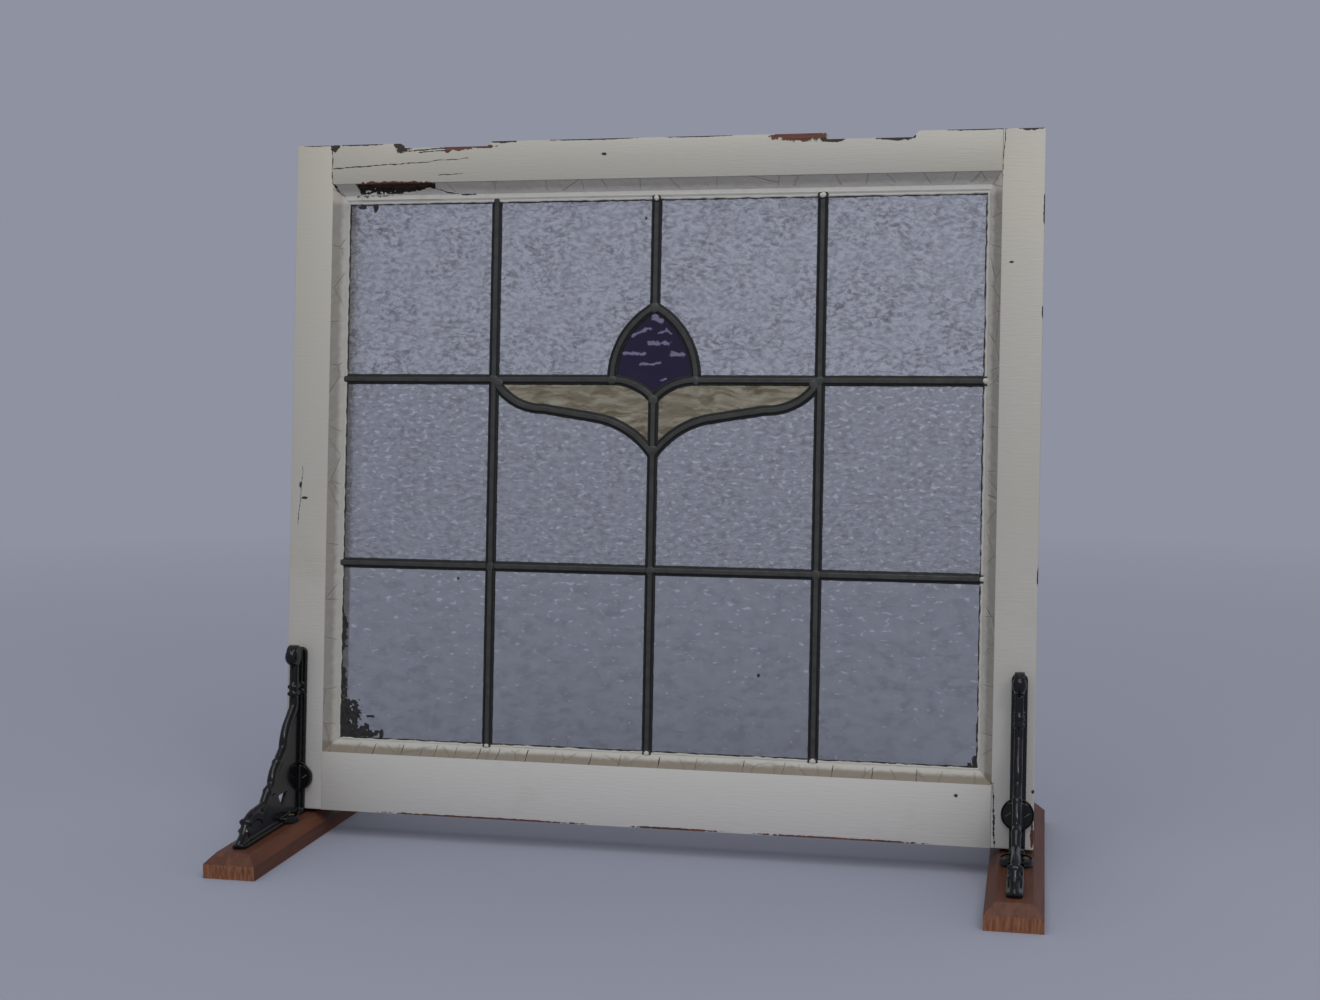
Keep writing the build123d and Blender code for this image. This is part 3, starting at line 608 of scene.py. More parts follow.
def lead_material(name, base, flank_shade, roughness, valley=0.07):
    """Dull lead with a painted highlight on the crown of the came, on both faces, and painted shade at
    its flanges.
    """
    lead = Finish(name, base)
    place = lead.sash_place()
    mottle = lead.noise(place, 130.0, 5.0, 0.6)
    half = (CAME_FACE - CAME_BACK) / 2
    away = lead.math("ABSOLUTE", lead.math("SUBTRACT", lead.part(place, 2), CAME_BACK + half))
    # Painted highlight on the crown of each came and painted shade on its flanks, by depth in the sash.
    crown_highlight = lead.ramp(away, half - 0.0006, half - 0.0001, valley, 1.0)
    dull = lead.mix(lead.ramp(mottle, 0.35, 0.7), tinted(base, 0.62), base)
    lead.shade({"Base Color": lead.mix(crown_highlight, flank_shade, dull), "Metallic": 0.45,
                "Roughness": lead.ramp(mottle, 0.3, 0.7, roughness + 0.15, roughness)})
    lead.bump(mottle, 0.4, 0.0005)
    return lead.material


def iron_material(settings):
    """Black japanned iron, worn a little in clouds, with the fine skin of a casting."""
    iron = Finish("black_japanned_iron", settings.iron)
    place = iron.object_place()
    skin = iron.noise(place, 420.0, 4.0)
    wear = iron.math("MULTIPLY", iron.group("grime", Place=place, Cover=0.5, Size=60.0)["Mask"], 0.12)
    iron.shade({"Base Color": iron.mix(wear, settings.iron, settings.iron_wear),
                "Specular IOR Level": 0.42, "Roughness": iron.ramp(skin, 0.3, 0.7, 0.14, 0.22)})
    iron.bump(skin, 0.15, 0.0003)
    return iron.material


def hardwood_material(settings):
    """Hardwood with its grain along the feet, and paler growth rings on their cut ends."""
    wood = Finish("foot_hardwood", settings.hardwood)
    place = wood.object_place()
    grain = wood.group("wood_grain", Place=place, Stretch=(1.0, 0.07, 1.0), Size=120.0)
    banded = wood.mix(grain["Band"], settings.hardwood_dark, settings.hardwood)
    pored = wood.mix(wood.math("MULTIPLY", grain["Pore"], 0.7), banded, settings.hardwood_dark)
    facing = wood.part(wood.add("ShaderNodeNewGeometry", output="Normal"), 1)
    cut = wood.ramp(wood.math("ABSOLUTE", facing), 0.80, 0.95)
    rings = wood.noise(wood.vector("MULTIPLY", place, (1.0, 1.0, 0.16)), 420.0, 3.0, 0.6)
    ended = wood.mix(wood.ramp(rings, 0.35, 0.62), settings.hardwood, settings.end_grain)
    wood.shade({"Base Color": wood.mix(cut, pored, ended), "Roughness": 0.55,
                "Specular IOR Level": 0.3})
    wood.bump(grain["Pore"], -0.4, 0.0005)
    return wood.material


# Geometry node trees for what repeats
class Shape(Nodes):
    """A geometry tree that is being built: it grows a painted mesh from points or edges."""

    def __init__(self, name, inputs):
        group = new_group(name, {"Geometry": None, **inputs, "Material": None},
                          {"Geometry": "Geometry"}, "GeometryNodeTree")
        super().__init__(group.tree)
        self.given = group.given

    def geometry(self, kind, values, **settings):
        return self.add("GeometryNode" + kind, values, **settings)

    def sized(self, geometry, reach):
        return self.geometry("Transform", {"Geometry": geometry, "Scale": reach})

    def ball(self, segments, reach):
        """Ball with half as many rings as segments, drawn out to a reach along each axis."""
        return self.sized(self.geometry("MeshUVSphere", {"Segments": segments, "Rings": segments // 2,
                                                         "Radius": 1.0}), reach)

    def circle(self, resolution, radius):
        return self.geometry("CurvePrimitiveCircle", {"Resolution": resolution, "Radius": radius})

    def swept(self, curve, section, **ends):
        return self.geometry("CurveToMesh", {"Curve": curve, "Profile Curve": section, **ends})

    def line(self):
        return self.geometry("MeshToCurve", {"Mesh": self["Geometry"]})

    def chance(self, low, high):
        """Random vector between two bounds, for each point."""
        return self.add("FunctionNodeRandomValue", {0: low, 1: high, "Seed": self["Seed"]},
                        data_type="FLOAT_VECTOR")

    def at_points(self, instance, **turns):
        points = self.geometry("MeshToPoints", {"Mesh": self["Geometry"]})
        return self.geometry("InstanceOnPoints", {"Points": points, "Instance": instance, **turns})

    def ragged(self, geometry, amount, grain, seed, share):
        """Moves points about by noise, by a share of the amount along each axis."""
        place = self.geometry("InputPosition", {})
        rough = self.noise(self.vector("ADD", place, seed), grain, 3.0, 0.6, output=1)
        shift = self.scaled(self.vector("SUBTRACT", rough, (0.5, 0.5, 0.5)), amount)
        return self.geometry("SetPosition", {"Geometry": geometry,
                                             "Offset": self.vector("MULTIPLY", shift, share)})

    def painted(self, geometry, smooth=True):
        """Ends the tree: real instances, their shading and their material."""
        real = self.geometry("RealizeInstances", {"Geometry": geometry})
        shaded = self.geometry("SetShadeSmooth", {"Geometry": real, "Shade Smooth": smooth})
        return self.close(Geometry=self.geometry("SetMaterial", {"Geometry": shaded,
                                                                 "Material": self["Material"]}))


def blob_tree():
    """Low rounded blob at each point: solder, or a lump of paint."""
    shape = Shape("blobs", {"Radius": 0.006, "Height": 0.001, "Uneven": 0.0012, "Seed": 1})
    lump = shape.ball(20, shape.joined(shape["Radius"], shape["Radius"], shape["Height"]))
    placed = shape.at_points(lump, Rotation=shape.chance((0, 0, 0), (0, 0, 2 * pi)),
                             Scale=shape.chance((0.8, 0.8, 0.85), (1.15, 1.15, 1.1)))
    real = shape.geometry("RealizeInstances", {"Geometry": placed})
    return shape.painted(shape.ragged(real, shape["Uneven"], 210.0, (0, 0, 0), (1.0, 1.0, 0.2)))


def bead_tree():
    """Ragged low bead along each edge: cement at a came, or the lip of the putty."""
    shape = Shape("ragged_bead", {"Half Width": 0.002, "Rise": 0.0004, "Ragged": 0.001,
                                  "Grain": 120.0, "Step": 0.0025, "Seed": (0, 0, 0)})
    even = shape.geometry("ResampleCurve", {"Curve": shape.line(), "Length": shape["Step"]},
                          mode="LENGTH")
    bent = shape.ragged(even, shape["Ragged"], shape["Grain"], shape["Seed"], FLAT)
    upright = shape.geometry("SetCurveNormal", {"Curve": bent}, mode="Z_UP")
    reach = shape.joined(shape["Half Width"], shape["Rise"], 1.0)
    section = shape.sized(shape.circle(8, 1.0), reach)
    return shape.painted(shape.swept(upright, section, **{"Fill Caps": True}))


def screw_tree():
    """Domed screw head with one slot at each point, on an axis."""
    shape = Shape("screw_heads", {"Radius": 0.0036, "Rise": 0.0016, "Slot": 0.0008, "Seed": 3})
    dome = shape.ball(24, shape.joined(shape["Radius"], shape["Radius"], shape["Rise"]))
    cutter = shape.geometry("MeshCube", {"Size": shape.joined(
        shape.math("MULTIPLY", shape["Radius"], 3.0), shape["Slot"], shape["Rise"])})
    raised = shape.joined(0.0, 0.0, shape["Rise"])
    slot = shape.geometry("Transform", {"Geometry": cutter, "Translation": raised})
    head = shape.geometry("MeshBoolean", {"Mesh 1": dome, "Mesh 2": slot}, operation="DIFFERENCE")
    return shape.painted(shape.at_points(head, Rotation=shape.chance((0, 0, 0), (0, 0, pi))), False)


def ring_tree():
    """Raised ring at each point: the moulded edge of a bracket lug."""
    shape = Shape("lug_rings", {"Radius": 0.0098, "Thickness": 0.0006})
    hoop = shape.swept(shape.circle(48, shape["Radius"]), shape.circle(8, shape["Thickness"]))
    return shape.painted(shape.at_points(hoop))


def ball_tree():
    """Smooth egg of one size at each point: the knob, the buttons and the rolls of a casting."""
    shape = Shape("casting_balls", {"Reach": (0.006, 0.006, 0.008)})
    return shape.painted(shape.at_points(shape.ball(32, shape["Reach"])))


def rib_tree():
    """Round rib along a line, which swells and narrows along its run."""
    shape = Shape("casting_rib", {"Radius": 0.003, "Swell": 0.18, "Swells": 5.0})
    even = shape.geometry("ResampleCurve", {"Curve": shape.line(), "Count": 120})
    share = shape.add("GeometryNodeSplineParameter", output="Factor")
    turns = shape.math("MULTIPLY", shape.math("MULTIPLY", share, shape["Swells"]), 2 * pi)
    wave = shape.math("MULTIPLY", shape.math("SINE", turns), shape["Swell"])
    size = shape.math("ADD", wave, 1.0)
    swollen = shape.geometry("SetCurveRadius", {"Curve": even, "Radius": size})
    section = shape.circle(16, shape["Radius"])
    return shape.painted(shape.swept(swollen, section, **{"Fill Caps": True}))


# Pieces
def link_object(made):
    """Links a piece, which rides on the only body that a row without joints has."""
    bpy.context.scene.collection.objects.link(made)
    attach(made, "root")
    return made


def smooth_faces(mesh):
    for face in mesh.polygons:
        face.use_smooth = True


def new_holder(name, mesh):
    """Object that only carries a mesh through its modifiers."""
    holder = bpy.data.objects.new(name + "_holder", mesh)
    bpy.context.scene.collection.objects.link(holder)
    return holder


def evaluated_mesh(name, holder):
    """Plain mesh of a holder after its modifiers. The holder is removed."""
    bpy.context.view_layer.update()
    depsgraph = bpy.context.evaluated_depsgraph_get()
    mesh = bpy.data.meshes.new_from_object(holder.evaluated_get(depsgraph))
    if not mesh.polygons:
        raise RuntimeError(f"{name} came out empty")
    holder.modifiers.clear()
    bpy.data.objects.remove(holder)
    mesh.name = name
    return mesh


def grown_mesh(name, points, edges, tree, values):
    """Runs a tree on points and edges, and returns the result as a plain mesh."""
    carrier = bpy.data.meshes.new(name + "_points")
    carrier.from_pydata([tuple(point) for point in points], edges, [])
    holder = new_holder(name, carrier)
    modifier = holder.modifiers.new("shape", "NODES")
    modifier.node_group = tree
    sockets = {item.name: item.identifier for item in tree.interface.items_tree
               if item.item_type == "SOCKET" and item.in_out == "INPUT"}
    for key, value in values.items():
        modifier[sockets[key]] = value
    return evaluated_mesh(name, holder)


def grow(name, points, edges, tree, values, matrix=SASH):
    """Grows a piece and moves its mesh to its place in the row frame."""
    mesh = grown_mesh(name, points, edges, tree, values)
    mesh.transform(matrix)
    made = link_object(bpy.data.objects.new(name, mesh))


def thin_sheet(name, mesh, material, thickness):
    """Piece made of a sheet in sash places and given a thickness."""
    mesh.transform(SASH)
    mesh.materials.append(material)
    made = link_object(bpy.data.objects.new(name, mesh))
    thick = made.modifiers.new("thickness", "SOLIDIFY")
    thick.thickness = thickness


def reworked(node, name, steps, material, merge_planes=False, added=()):
    """A piece that stands for a CAD node: its merged copy, with what is added, after modifiers."""
    data = bpy.data.meshes.new(name)
    shape = bmesh.new()
    shape.from_mesh(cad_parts[node].data)
    bmesh.ops.remove_doubles(shape, verts=shape.verts, dist=WELD)
    if merge_planes:
        bmesh.ops.dissolve_limit(shape, angle_limit=radians(0.5), verts=shape.verts,
                                 edges=shape.edges)
    for mesh in added:
        shape.from_mesh(mesh)
    shape.to_mesh(data)
    shape.free()
    holder = new_holder(name, data)
    for kind, settings in steps:
        modifier = holder.modifiers.new(kind.lower(), kind)
        for key, value in settings.items():
            setattr(modifier, key, value)
    mesh = evaluated_mesh(name, holder)
    mesh.materials.clear()
    mesh.materials.append(material)
    smooth_faces(mesh)
    made = link_object(bpy.data.objects.new(name, mesh))
    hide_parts(node)
    return made


def loop_edges(count):
    return [(index, (index + 1) % count) for index in range(count)]


def pane_outline(name):
    """Corner points of a pane's front face, in order round it, in sash places."""
    found = bmesh.new()
    found.from_mesh(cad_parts[name].data)
    found.transform(SASH_BACK)
    bmesh.ops.remove_doubles(found, verts=found.verts, dist=WELD)
    front = [face for face in found.faces
             if all(abs(vertex.co.z - GLASS_FACE) < 0.0001 for vertex in face.verts)]
    rim = [edge for edge in {edge for face in front for edge in face.edges}
           if sum(face in front for face in edge.link_faces) == 1]
    start = min(rim, key=lambda edge: (edge.verts[0].co.x, edge.verts[0].co.y))
    order, edge = [start.verts[0], start.verts[1]], start
    while True:
        edge = next(other for other in rim if order[-1] in other.verts and other is not edge)
        following = edge.other_vert(order[-1])
        if following is order[0]:
            break
        order.append(following)
    points = [vertex.co.copy() for vertex in order]
    found.free()
    return points


class LEADLIGHT_OT_timber(bpy.types.Operator):
    """Paints the stiles and rails, and eases their arrises"""
    bl_idname = "leadlight.timber"
    bl_label = "Painted timber"

    def execute(self, context):
        settings = context.scene.leadlight_timber
        paint = paint_material(settings)
        eased = [("BEVEL", {"width": settings.arris, "segments": 2, "limit_method": "ANGLE",
                            "angle_limit": radians(30), "use_clamp_overlap": True,
                            "harden_normals": False})]
        for name in TIMBERS:
            made = reworked(name, name + "_eased", eased, paint, True)
            made.data.set_sharp_from_angle(angle=radians(35))
        return {"FINISHED"}


class LEADLIGHT_OT_putty(bpy.types.Operator):
    """Paints the putty, and adds its ragged lip, a painted shadow line along its edge, the broken length
    and the paint left on the glass
    """
    bl_idname = "leadlight.putty"
    bl_label = "Putty"

    def execute(self, context):
        settings = context.scene.leadlight_timber
        putty = putty_material(settings)
        finish_nodes(PUTTY, putty)
        bead = bead_tree()
        black = plain_material("old_black_paint", settings.black_residue_and_shadow, settings.void, 300.0, 0.8, 0.0004)
        grow("putty_lip", self.rectangle(0.0004, GLASS_FACE + 0.0002), loop_edges(4), bead,
             {"Half Width": 0.0015, "Rise": 0.0007, "Ragged": 0.0034, "Grain": 150.0,
              "Seed": (0.3, 0.1, 0.0), "Material": putty})
        # Painted shadow: a dark ragged line on the glass along the inner edge of the putty.
        grow("putty_shadow_line", self.rectangle(0.0018, GLASS_FACE), loop_edges(4), bead,
             {"Half Width": 0.0011, "Rise": 0.0003, "Ragged": 0.0030, "Grain": 110.0,
              "Seed": (0.0, 0.7, 0.0), "Material": black})
        self.came_lumps(putty, black)
        self.void_bed(settings)
        self.void_lip(putty)
        self.glass_paint(black)
        return {"FINISHED"}

    def rectangle(self, inset, height):
        """Corners of the opening in the putty, moved inwards, at a height above the sash back."""
        x, low, high = PUTTY_INNER_X - inset, PUTTY_BOTTOM_INNER + inset, PUTTY_TOP_INNER - inset
        return [(-x, low, height), (x, low, height), (x, high, height), (-x, high, height)]

    def came_lumps(self, putty, black):
        """Lumps of paint over the ends of the cames, each on a dark rim."""
        ends = [(x, PUTTY_TOP_INNER - 0.0005, CAME_FACE) for x in (0, COLUMN_X)]
        sunk = CAME_FACE - 0.0006
        ends += [(x, PUTTY_BOTTOM_INNER + 0.0003, sunk) for x in (-COLUMN_X, 0, COLUMN_X)]
        ends += [(PUTTY_INNER_X - 0.0003, s, sunk) for s in (LOWER_LINE, UPPER_LINE)]
        blobs = blob_tree()
        grow("came_end_rims", ends, [], blobs,
             {"Radius": 0.0044, "Height": 0.0009, "Uneven": 0.0024, "Seed": 5, "Material": black})
        grow("came_end_lumps", ends, [], blobs,
             {"Radius": 0.0029, "Height": 0.0018, "Uneven": 0.0016, "Seed": 5, "Material": putty})

    def void_bed(self, settings):
        """Rough bed where a length of the top putty has fallen out, with a ragged lower edge."""
        left, right, low, high = -0.2925, -0.2090, PUTTY_TOP_INNER + 0.0027, WALL_TOP + 0.0004
        columns, rows = 150, 34
        points = []
        for row in range(rows + 1):
            for column in range(columns + 1):
                x = left + (right - left) * column / columns
                s = low + (high - low) * row / rows
                rough = turbulence(Vector((x * 240, s * 420, 0.3)), 4, False)
                slope = (row / rows) ** 3 * 0.0030
                fringe = min(column, columns - column, 6) / 6
                height = GLASS_FACE + 0.0033 + slope + rough * 0.0020 * fringe
                shown = max(top_slope(s) - 0.0003, LIP_FACE + 0.0002)
                ragged = 0.0052 + 0.0030 * turbulence(Vector((x * 210, 1.0, 2.0)), 4, False)
                if s < PUTTY_TOP_INNER + ragged:
                    shown = LIP_FACE - 0.0012
                points.append((x, s, min(height, shown)))
        across = columns + 1
        faces = [(i, i + 1, i + across + 1, i + across)
                 for row in range(rows) for i in range(row * across, row * across + columns)]
        mesh = bpy.data.meshes.new("void_bed")
        mesh.from_pydata(points, [], faces)
        smooth_faces(mesh)
        thin_sheet("void_bed", mesh, void_material(settings), 0.0008)

    def void_lip(self, putty):
        """Ragged edge of the putty that is left below and to the right of the broken length."""
        left, right = -0.2940, -0.2085
        low, high = PUTTY_TOP_INNER + 0.0020, WALL_TOP - 0.0004

        def kept(x, s):
            share = (x - left) / (right - left)
            edge = PUTTY_TOP_INNER + 0.0034 + 0.0092 * share ** 1.3
            return s < edge + 0.0024 * (turbulence(Vector((x * 90, s * 60, 5.0)), 3, False) - 0.45)

        self.flakes("void_lip", [(left, right, low, high, kept)], top_slope, 0.0006, putty,
                    "putty", 0.0014)

    def glass_paint(self, black):
        """Ragged flakes of old black paint left on the glass: x, s and their reach along each."""
        patches = [(-0.3020, 0.1720, 0.0052, 0.0120), (-0.3020, 0.1555, 0.0030, 0.0048),
                   (-0.3005, 0.1310, 0.0036, 0.0026), (-0.3020, 0.1155, 0.0054, 0.0110),
                   (-0.2990, 0.0915, 0.0135, 0.0100), (-0.2995, 0.0735, 0.0125, 0.0080),
                   (-0.2840, 0.0722, 0.0050, 0.0044), (-0.2770, 0.0748, 0.0040, 0.0036),
                   (-0.2705, 0.0718, 0.0038, 0.0028), (-0.2735, 0.0800, 0.0020, 0.0018),
                   (-0.2640, 0.0728, 0.0019, 0.0022), (-0.2590, 0.0725, 0.0018, 0.0030),
                   (-0.2850, 0.0870, 0.0022, 0.0030), (-0.2700, 0.0890, 0.0026, 0.0009),
                   (-0.2740, 0.5735, 0.0019, 0.0026), (-0.2880, 0.5745, 0.0028, 0.0014),
                   (0.2990, 0.0720, 0.0026, 0.0044), (0.2935, 0.0700, 0.0014, 0.0016),
                   (0.3005, 0.1010, 0.0014, 0.0070), (0.1030, 0.1420, 0.0009, 0.0012),
                   (-0.0100, 0.5600, 0.0008, 0.0010), (-0.1850, 0.2230, 0.0008, 0.0010)]
        self.flakes("glass_paint", [self.patch(*patch) for patch in patches], lambda s: GLASS_FACE,
                    0.00025, black, "lead", 0.0002)

    def patch(self, x, s, wide, tall):
        """Bounds of a patch, and a rule that says which of its cells are painted."""
        def kept(cell_x, cell_s):
            far = (((cell_x - x) / wide) ** 2 + ((cell_s - s) / tall) ** 2) ** 0.5
            ragged = turbulence(Vector((cell_x * 230, cell_s * 230, 2.0)), 5, False) - 0.42
            inside = abs(cell_x) < PUTTY_INNER_X and cell_s > PUTTY_BOTTOM_INNER
            return inside and far + ragged * 1.1 < 1.0
        return x - 1.5 * wide, x + 1.5 * wide, s - 1.5 * tall, s + 1.5 * tall, kept

    def flakes(self, name, areas, height, lift, material, slot, thickness):
        """Thin ragged sheet made of the small square cells that each area's rule keeps."""
        cell = 0.0005
        sheet = bmesh.new()
        corners, done = {}, set()
        for left, right, low, high, kept in areas:
            for column in range(round(left / cell), round(right / cell)):
                for row in range(round(low / cell), round(high / cell)):
                    if (column, row) in done or not kept((column + 0.5) * cell, (row + 0.5) * cell):
                        continue
                    done.add((column, row))
                    ring = []
                    for across, up in ((0, 0), (1, 0), (1, 1), (0, 1)):
                        key = column + across, row + up
                        if key not in corners:
                            x, s = key[0] * cell, key[1] * cell
                            corners[key] = sheet.verts.new((x, s, height(s) + lift))
                        ring.append(corners[key])
                    sheet.faces.new(ring)
        mesh = bpy.data.meshes.new(name)
        sheet.to_mesh(mesh)
        sheet.free()
        thin_sheet(name, mesh, material, thickness)


class LEADLIGHT_OT_light(bpy.types.Operator):
    """Glazes the leaded light: glass, cames, solder joints and cement"""
    bl_idname = "leadlight.light"
    bl_label = "Leaded light"

    def execute(self, context):
        glass = context.scene.leadlight_glass
        lead = context.scene.leadlight_lead
        self.clear_glass(glass)
        purple = glass_material("purple_streaky_glass", glass.purple, glass.lilac_reflection, 0.12,
                                (40.0, 0.8, 1.4, 0.06), 0.0004, strokes=self.bud_strokes())
        finish_nodes(["bud_pane"], purple)
        amber = glass_material("amber_streaky_glass", glass.amber, glass.straw, 0.16,
                               (120.0, 0.58, 0.90, 1.0), 0.0008, drawn=(0.40, 1.5, 1.0))
        finish_nodes(LEAF_PANES, amber)
        finish_nodes(CAMES, lead_material("oxidised_lead", lead.lead, lead.flank_shade, 0.42))
        solder = lead_material("tin_solder", lead.solder, lead.flank_shade, 0.40, 0.6)
        blobs = blob_tree()
        for name, height in (("solder_joints", CAME_FACE - 0.0004),
                             ("solder_joints_back", CAME_BACK + 0.0004)):
            grow(name, [(x, s, height) for x, s in self.junctions()], [], blobs,
                 {"Radius": lead.solder_radius, "Height": lead.solder_height, "Uneven": 0.0022,
                  "Seed": 2, "Material": solder})
        self.cement(lead)
        return {"FINISHED"}

    def clear_glass(self, glass):
        """Each row of panes has its own mottle of painted highlight (size, low, high, share), relief,
        flecks of painted highlight (size, foot, head, least and most spread), roughness, tint and share
        of painted shade."""
        rows = {"top": ((170.0, 0.62, 0.82, 0.9), 0.0024, None, 0.18, 1.0, 0.9),
                "middle": ((140.0, 0.62, 0.98, 0.6), 0.0018,
                           (230.0, LOWER_LINE, UPPER_LINE, 0.42, 0.50), 0.18, 0.92, 0.5),
                "bottom": ((60.0, 0.60, 1.10, 0.35), 0.0008,
                           (200.0, PUTTY_BOTTOM_INNER, LOWER_LINE, 0.25, 0.43), 0.15, 0.99, 0.25)}
        for row, (mottle, relief, flecks, roughness, tint, shade_share) in rows.items():
            panes = [name for name in GLASS_PANES if name.startswith(row)]
            finish_nodes(panes, glass_material("rolled_glass_" + row, tinted(glass.clear, tint),
                                               glass.fleck_highlight, roughness, mottle, relief, flecks,
                                               shade_share=shade_share))

    def bud_strokes(self):
        """Lilac strokes of painted reflection across the bud, each a start, an end and half a width in
        sash places.
        """
        strokes = [
            (-0.0220, 0.0405, -0.0140, 0.0450, 0.0016), (-0.0140, 0.0450, -0.0045, 0.0474, 0.0016),
            (-0.0010, 0.0585, 0.0070, 0.0540, 0.0022), (0.0040, 0.0440, 0.0120, 0.0462, 0.0011),
            (0.0110, 0.0475, 0.0150, 0.0430, 0.0009), (-0.0044, 0.0342, 0.0140, 0.0340, 0.0018),
            (-0.0280, 0.0240, -0.0100, 0.0243, 0.0014), (0.0160, 0.0250, 0.0270, 0.0240, 0.0021),
            (-0.0127, 0.0148, 0.0060, 0.0154, 0.0012), (0.0060, 0.0005, 0.0120, 0.0015, 0.0007)]
        return [((x, UPPER_LINE + s, 0), (end_x, UPPER_LINE + end_s, 0), width)
                for x, s, end_x, end_s, width in strokes]

    def junctions(self):
        """Where cames meet, in sash places."""
        bud_low, bud_high = sash_box("bud_came_left")
        leaf_foot = sash_box("leaf_came_left")[0].y
        bud_x = -bud_low.x - 0.004
        found = [(side * COLUMN_X, s) for side in (-1, 1) for s in (LOWER_LINE, UPPER_LINE)]
        found += [(0, LOWER_LINE), (0, bud_high.y - 0.004), (0, UPPER_LINE - 0.018),
                  (0, leaf_foot + 0.006), (-bud_x, UPPER_LINE), (bud_x, UPPER_LINE),
                  (-COLUMN_X + 0.005, UPPER_LINE - 0.003), (COLUMN_X - 0.005, UPPER_LINE - 0.003)]
        return found

    def cement(self, lead):
        """Black cement along every pane edge, front and back."""
        black = plain_material("glazing_cement", lead.cement, tinted(lead.cement, 0.5), 240.0,
                               0.85, 0.0005)
        points, edges = [], []
        for name in GLASS_PANES + LEAF_PANES + ["bud_pane"]:
            outline = pane_outline(name)
            edges += [(len(points) + a, len(points) + b) for a, b in loop_edges(len(outline))]
            points += outline
        bead = bead_tree()
        for name, height in (("cement_front", GLASS_FACE), ("cement_back", GLASS_BACK)):
            grow(name, [(point.x, point.y, height) for point in points], edges, bead,
                 {"Half Width": lead.cement_reach, "Rise": 0.0005, "Ragged": 0.0012, "Grain": 150.0,
                  "Seed": (0.0, 0.0, 0.4), "Material": black})


class LEADLIGHT_OT_fittings(bpy.types.Operator):
    """Casts the brackets round and finishes them, their screws and the feet"""
    bl_idname = "leadlight.fittings"
    bl_label = "Brackets and feet"

    def execute(self, context):
        settings = context.scene.leadlight_fittings
        iron = iron_material(settings)
        steel = plain_material("worn_screw_steel", settings.steel, settings.steel_dark, 600.0, 0.35,
                               0.0002, 0.3)
        cast = [("REMESH", {"mode": "VOXEL", "voxel_size": settings.casting}),
                ("SMOOTH", {"factor": 0.5, "iterations": 3}),
                ("DECIMATE", {"ratio": 0.5})]
        for name in BRACKETS:
            reworked(name, name + "_casting", cast, iron,
                     added=self.moulding(name, iron))
            self.fixings(name, iron, steel, settings)
        finish_nodes(FEET, hardwood_material(settings))
        return {"FINISHED"}

    def moulding(self, name, iron):
        """Rounded rib, knob, buttons and toe rolls that are cast in one with a bracket."""
        outward = -1 if name.startswith("front") else 1
        low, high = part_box(name)
        x = (low.x + high.x) / 2
        solid = bmesh.new()
        solid.from_mesh(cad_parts[name].data)
        reach = BVHTree.FromBMesh(solid)
        solid.free()

        def edge(up, inside):
            """Front edge of the casting at a height above its foot, moved inside it."""
            start = Vector((x, outward * (max(abs(low.y), abs(high.y)) + 0.05), low.z + up))
            hit = reach.ray_cast(start, Vector((0, -outward, 0)))[0]
            return hit - Vector((0, outward * inside, 0))

        tall = high.z - low.z
        count = 90
        crest = [edge(0.0022 + (tall - 0.0235) * (1 - row / (count - 1)), 0.0016)
                 for row in range(count)]
        line = [(row, row + 1) for row in range(count - 1)]
        pieces = [grown_mesh("rib", crest, line, rib_tree(), {"Radius": 0.0031, "Material": iron})]
        balls = ball_tree()
        for points, egg in (([edge(tall - 0.0105, 0.0040)], (0.0062, 0.0066, 0.0080)),
                            ([Vector((x, edge(tall - 0.0040, 0.0100).y, high.z - 0.0030))],
                             (0.0040, 0.0040, 0.0030)),
                            ([edge(0.0200, 0.0020), edge(0.0125, 0.0040)], (0.0066, 0.0040, 0.0036)),
                            ([edge(0.0365, 0.0030), edge(0.0585, 0.0030)], (0.0046, 0.0040, 0.0046))):
            pieces.append(grown_mesh("balls", points, [], balls, {"Reach": egg, "Material": iron}))
        return pieces

    def fixings(self, name, iron, steel, settings):
        """Screw heads and rings on the wall lugs and on the base lugs of one bracket."""
        low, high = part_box(name)
        front = name.startswith("front")
        out = 1 if front else -1
        x = (low.x + high.x) / 2
        apart = (high.x - low.x) / 2 - SCREW_INSET
        face = STILE[1].z if front else STILE[0].z
        foot = SASH_BACK @ Vector((x, (high.y if front else low.y), low.z))
        turn = Matrix.Identity(4) if front else Matrix.Rotation(pi, 4, "Y")
        wall = SASH @ Matrix.Translation((x, foot.y + LUG_DISTANCE, face + out * LUG_THICKNESS)) @ turn
        arris = SASH @ Vector((x, foot.y, face))
        base = Matrix.Translation((x, arris.y - out * LUG_DISTANCE, low.z + LUG_THICKNESS))
        screws, rings = screw_tree(), ring_tree()
        for place, matrix in (("wall", wall), ("base", base)):
            grow(f"{name}_{place}_screws", [(-apart, 0, 0), (apart, 0, 0)], [], screws,
                 {"Radius": settings.screw_radius, "Rise": 0.0020, "Slot": 0.0009, "Seed": 7,
                  "Material": steel}, matrix)
            grow(f"{name}_{place}_rings", [(0, 0, 0)], [], rings,
                 {"Radius": LUG_RADIUS, "Thickness": 0.0008, "Material": iron}, matrix)


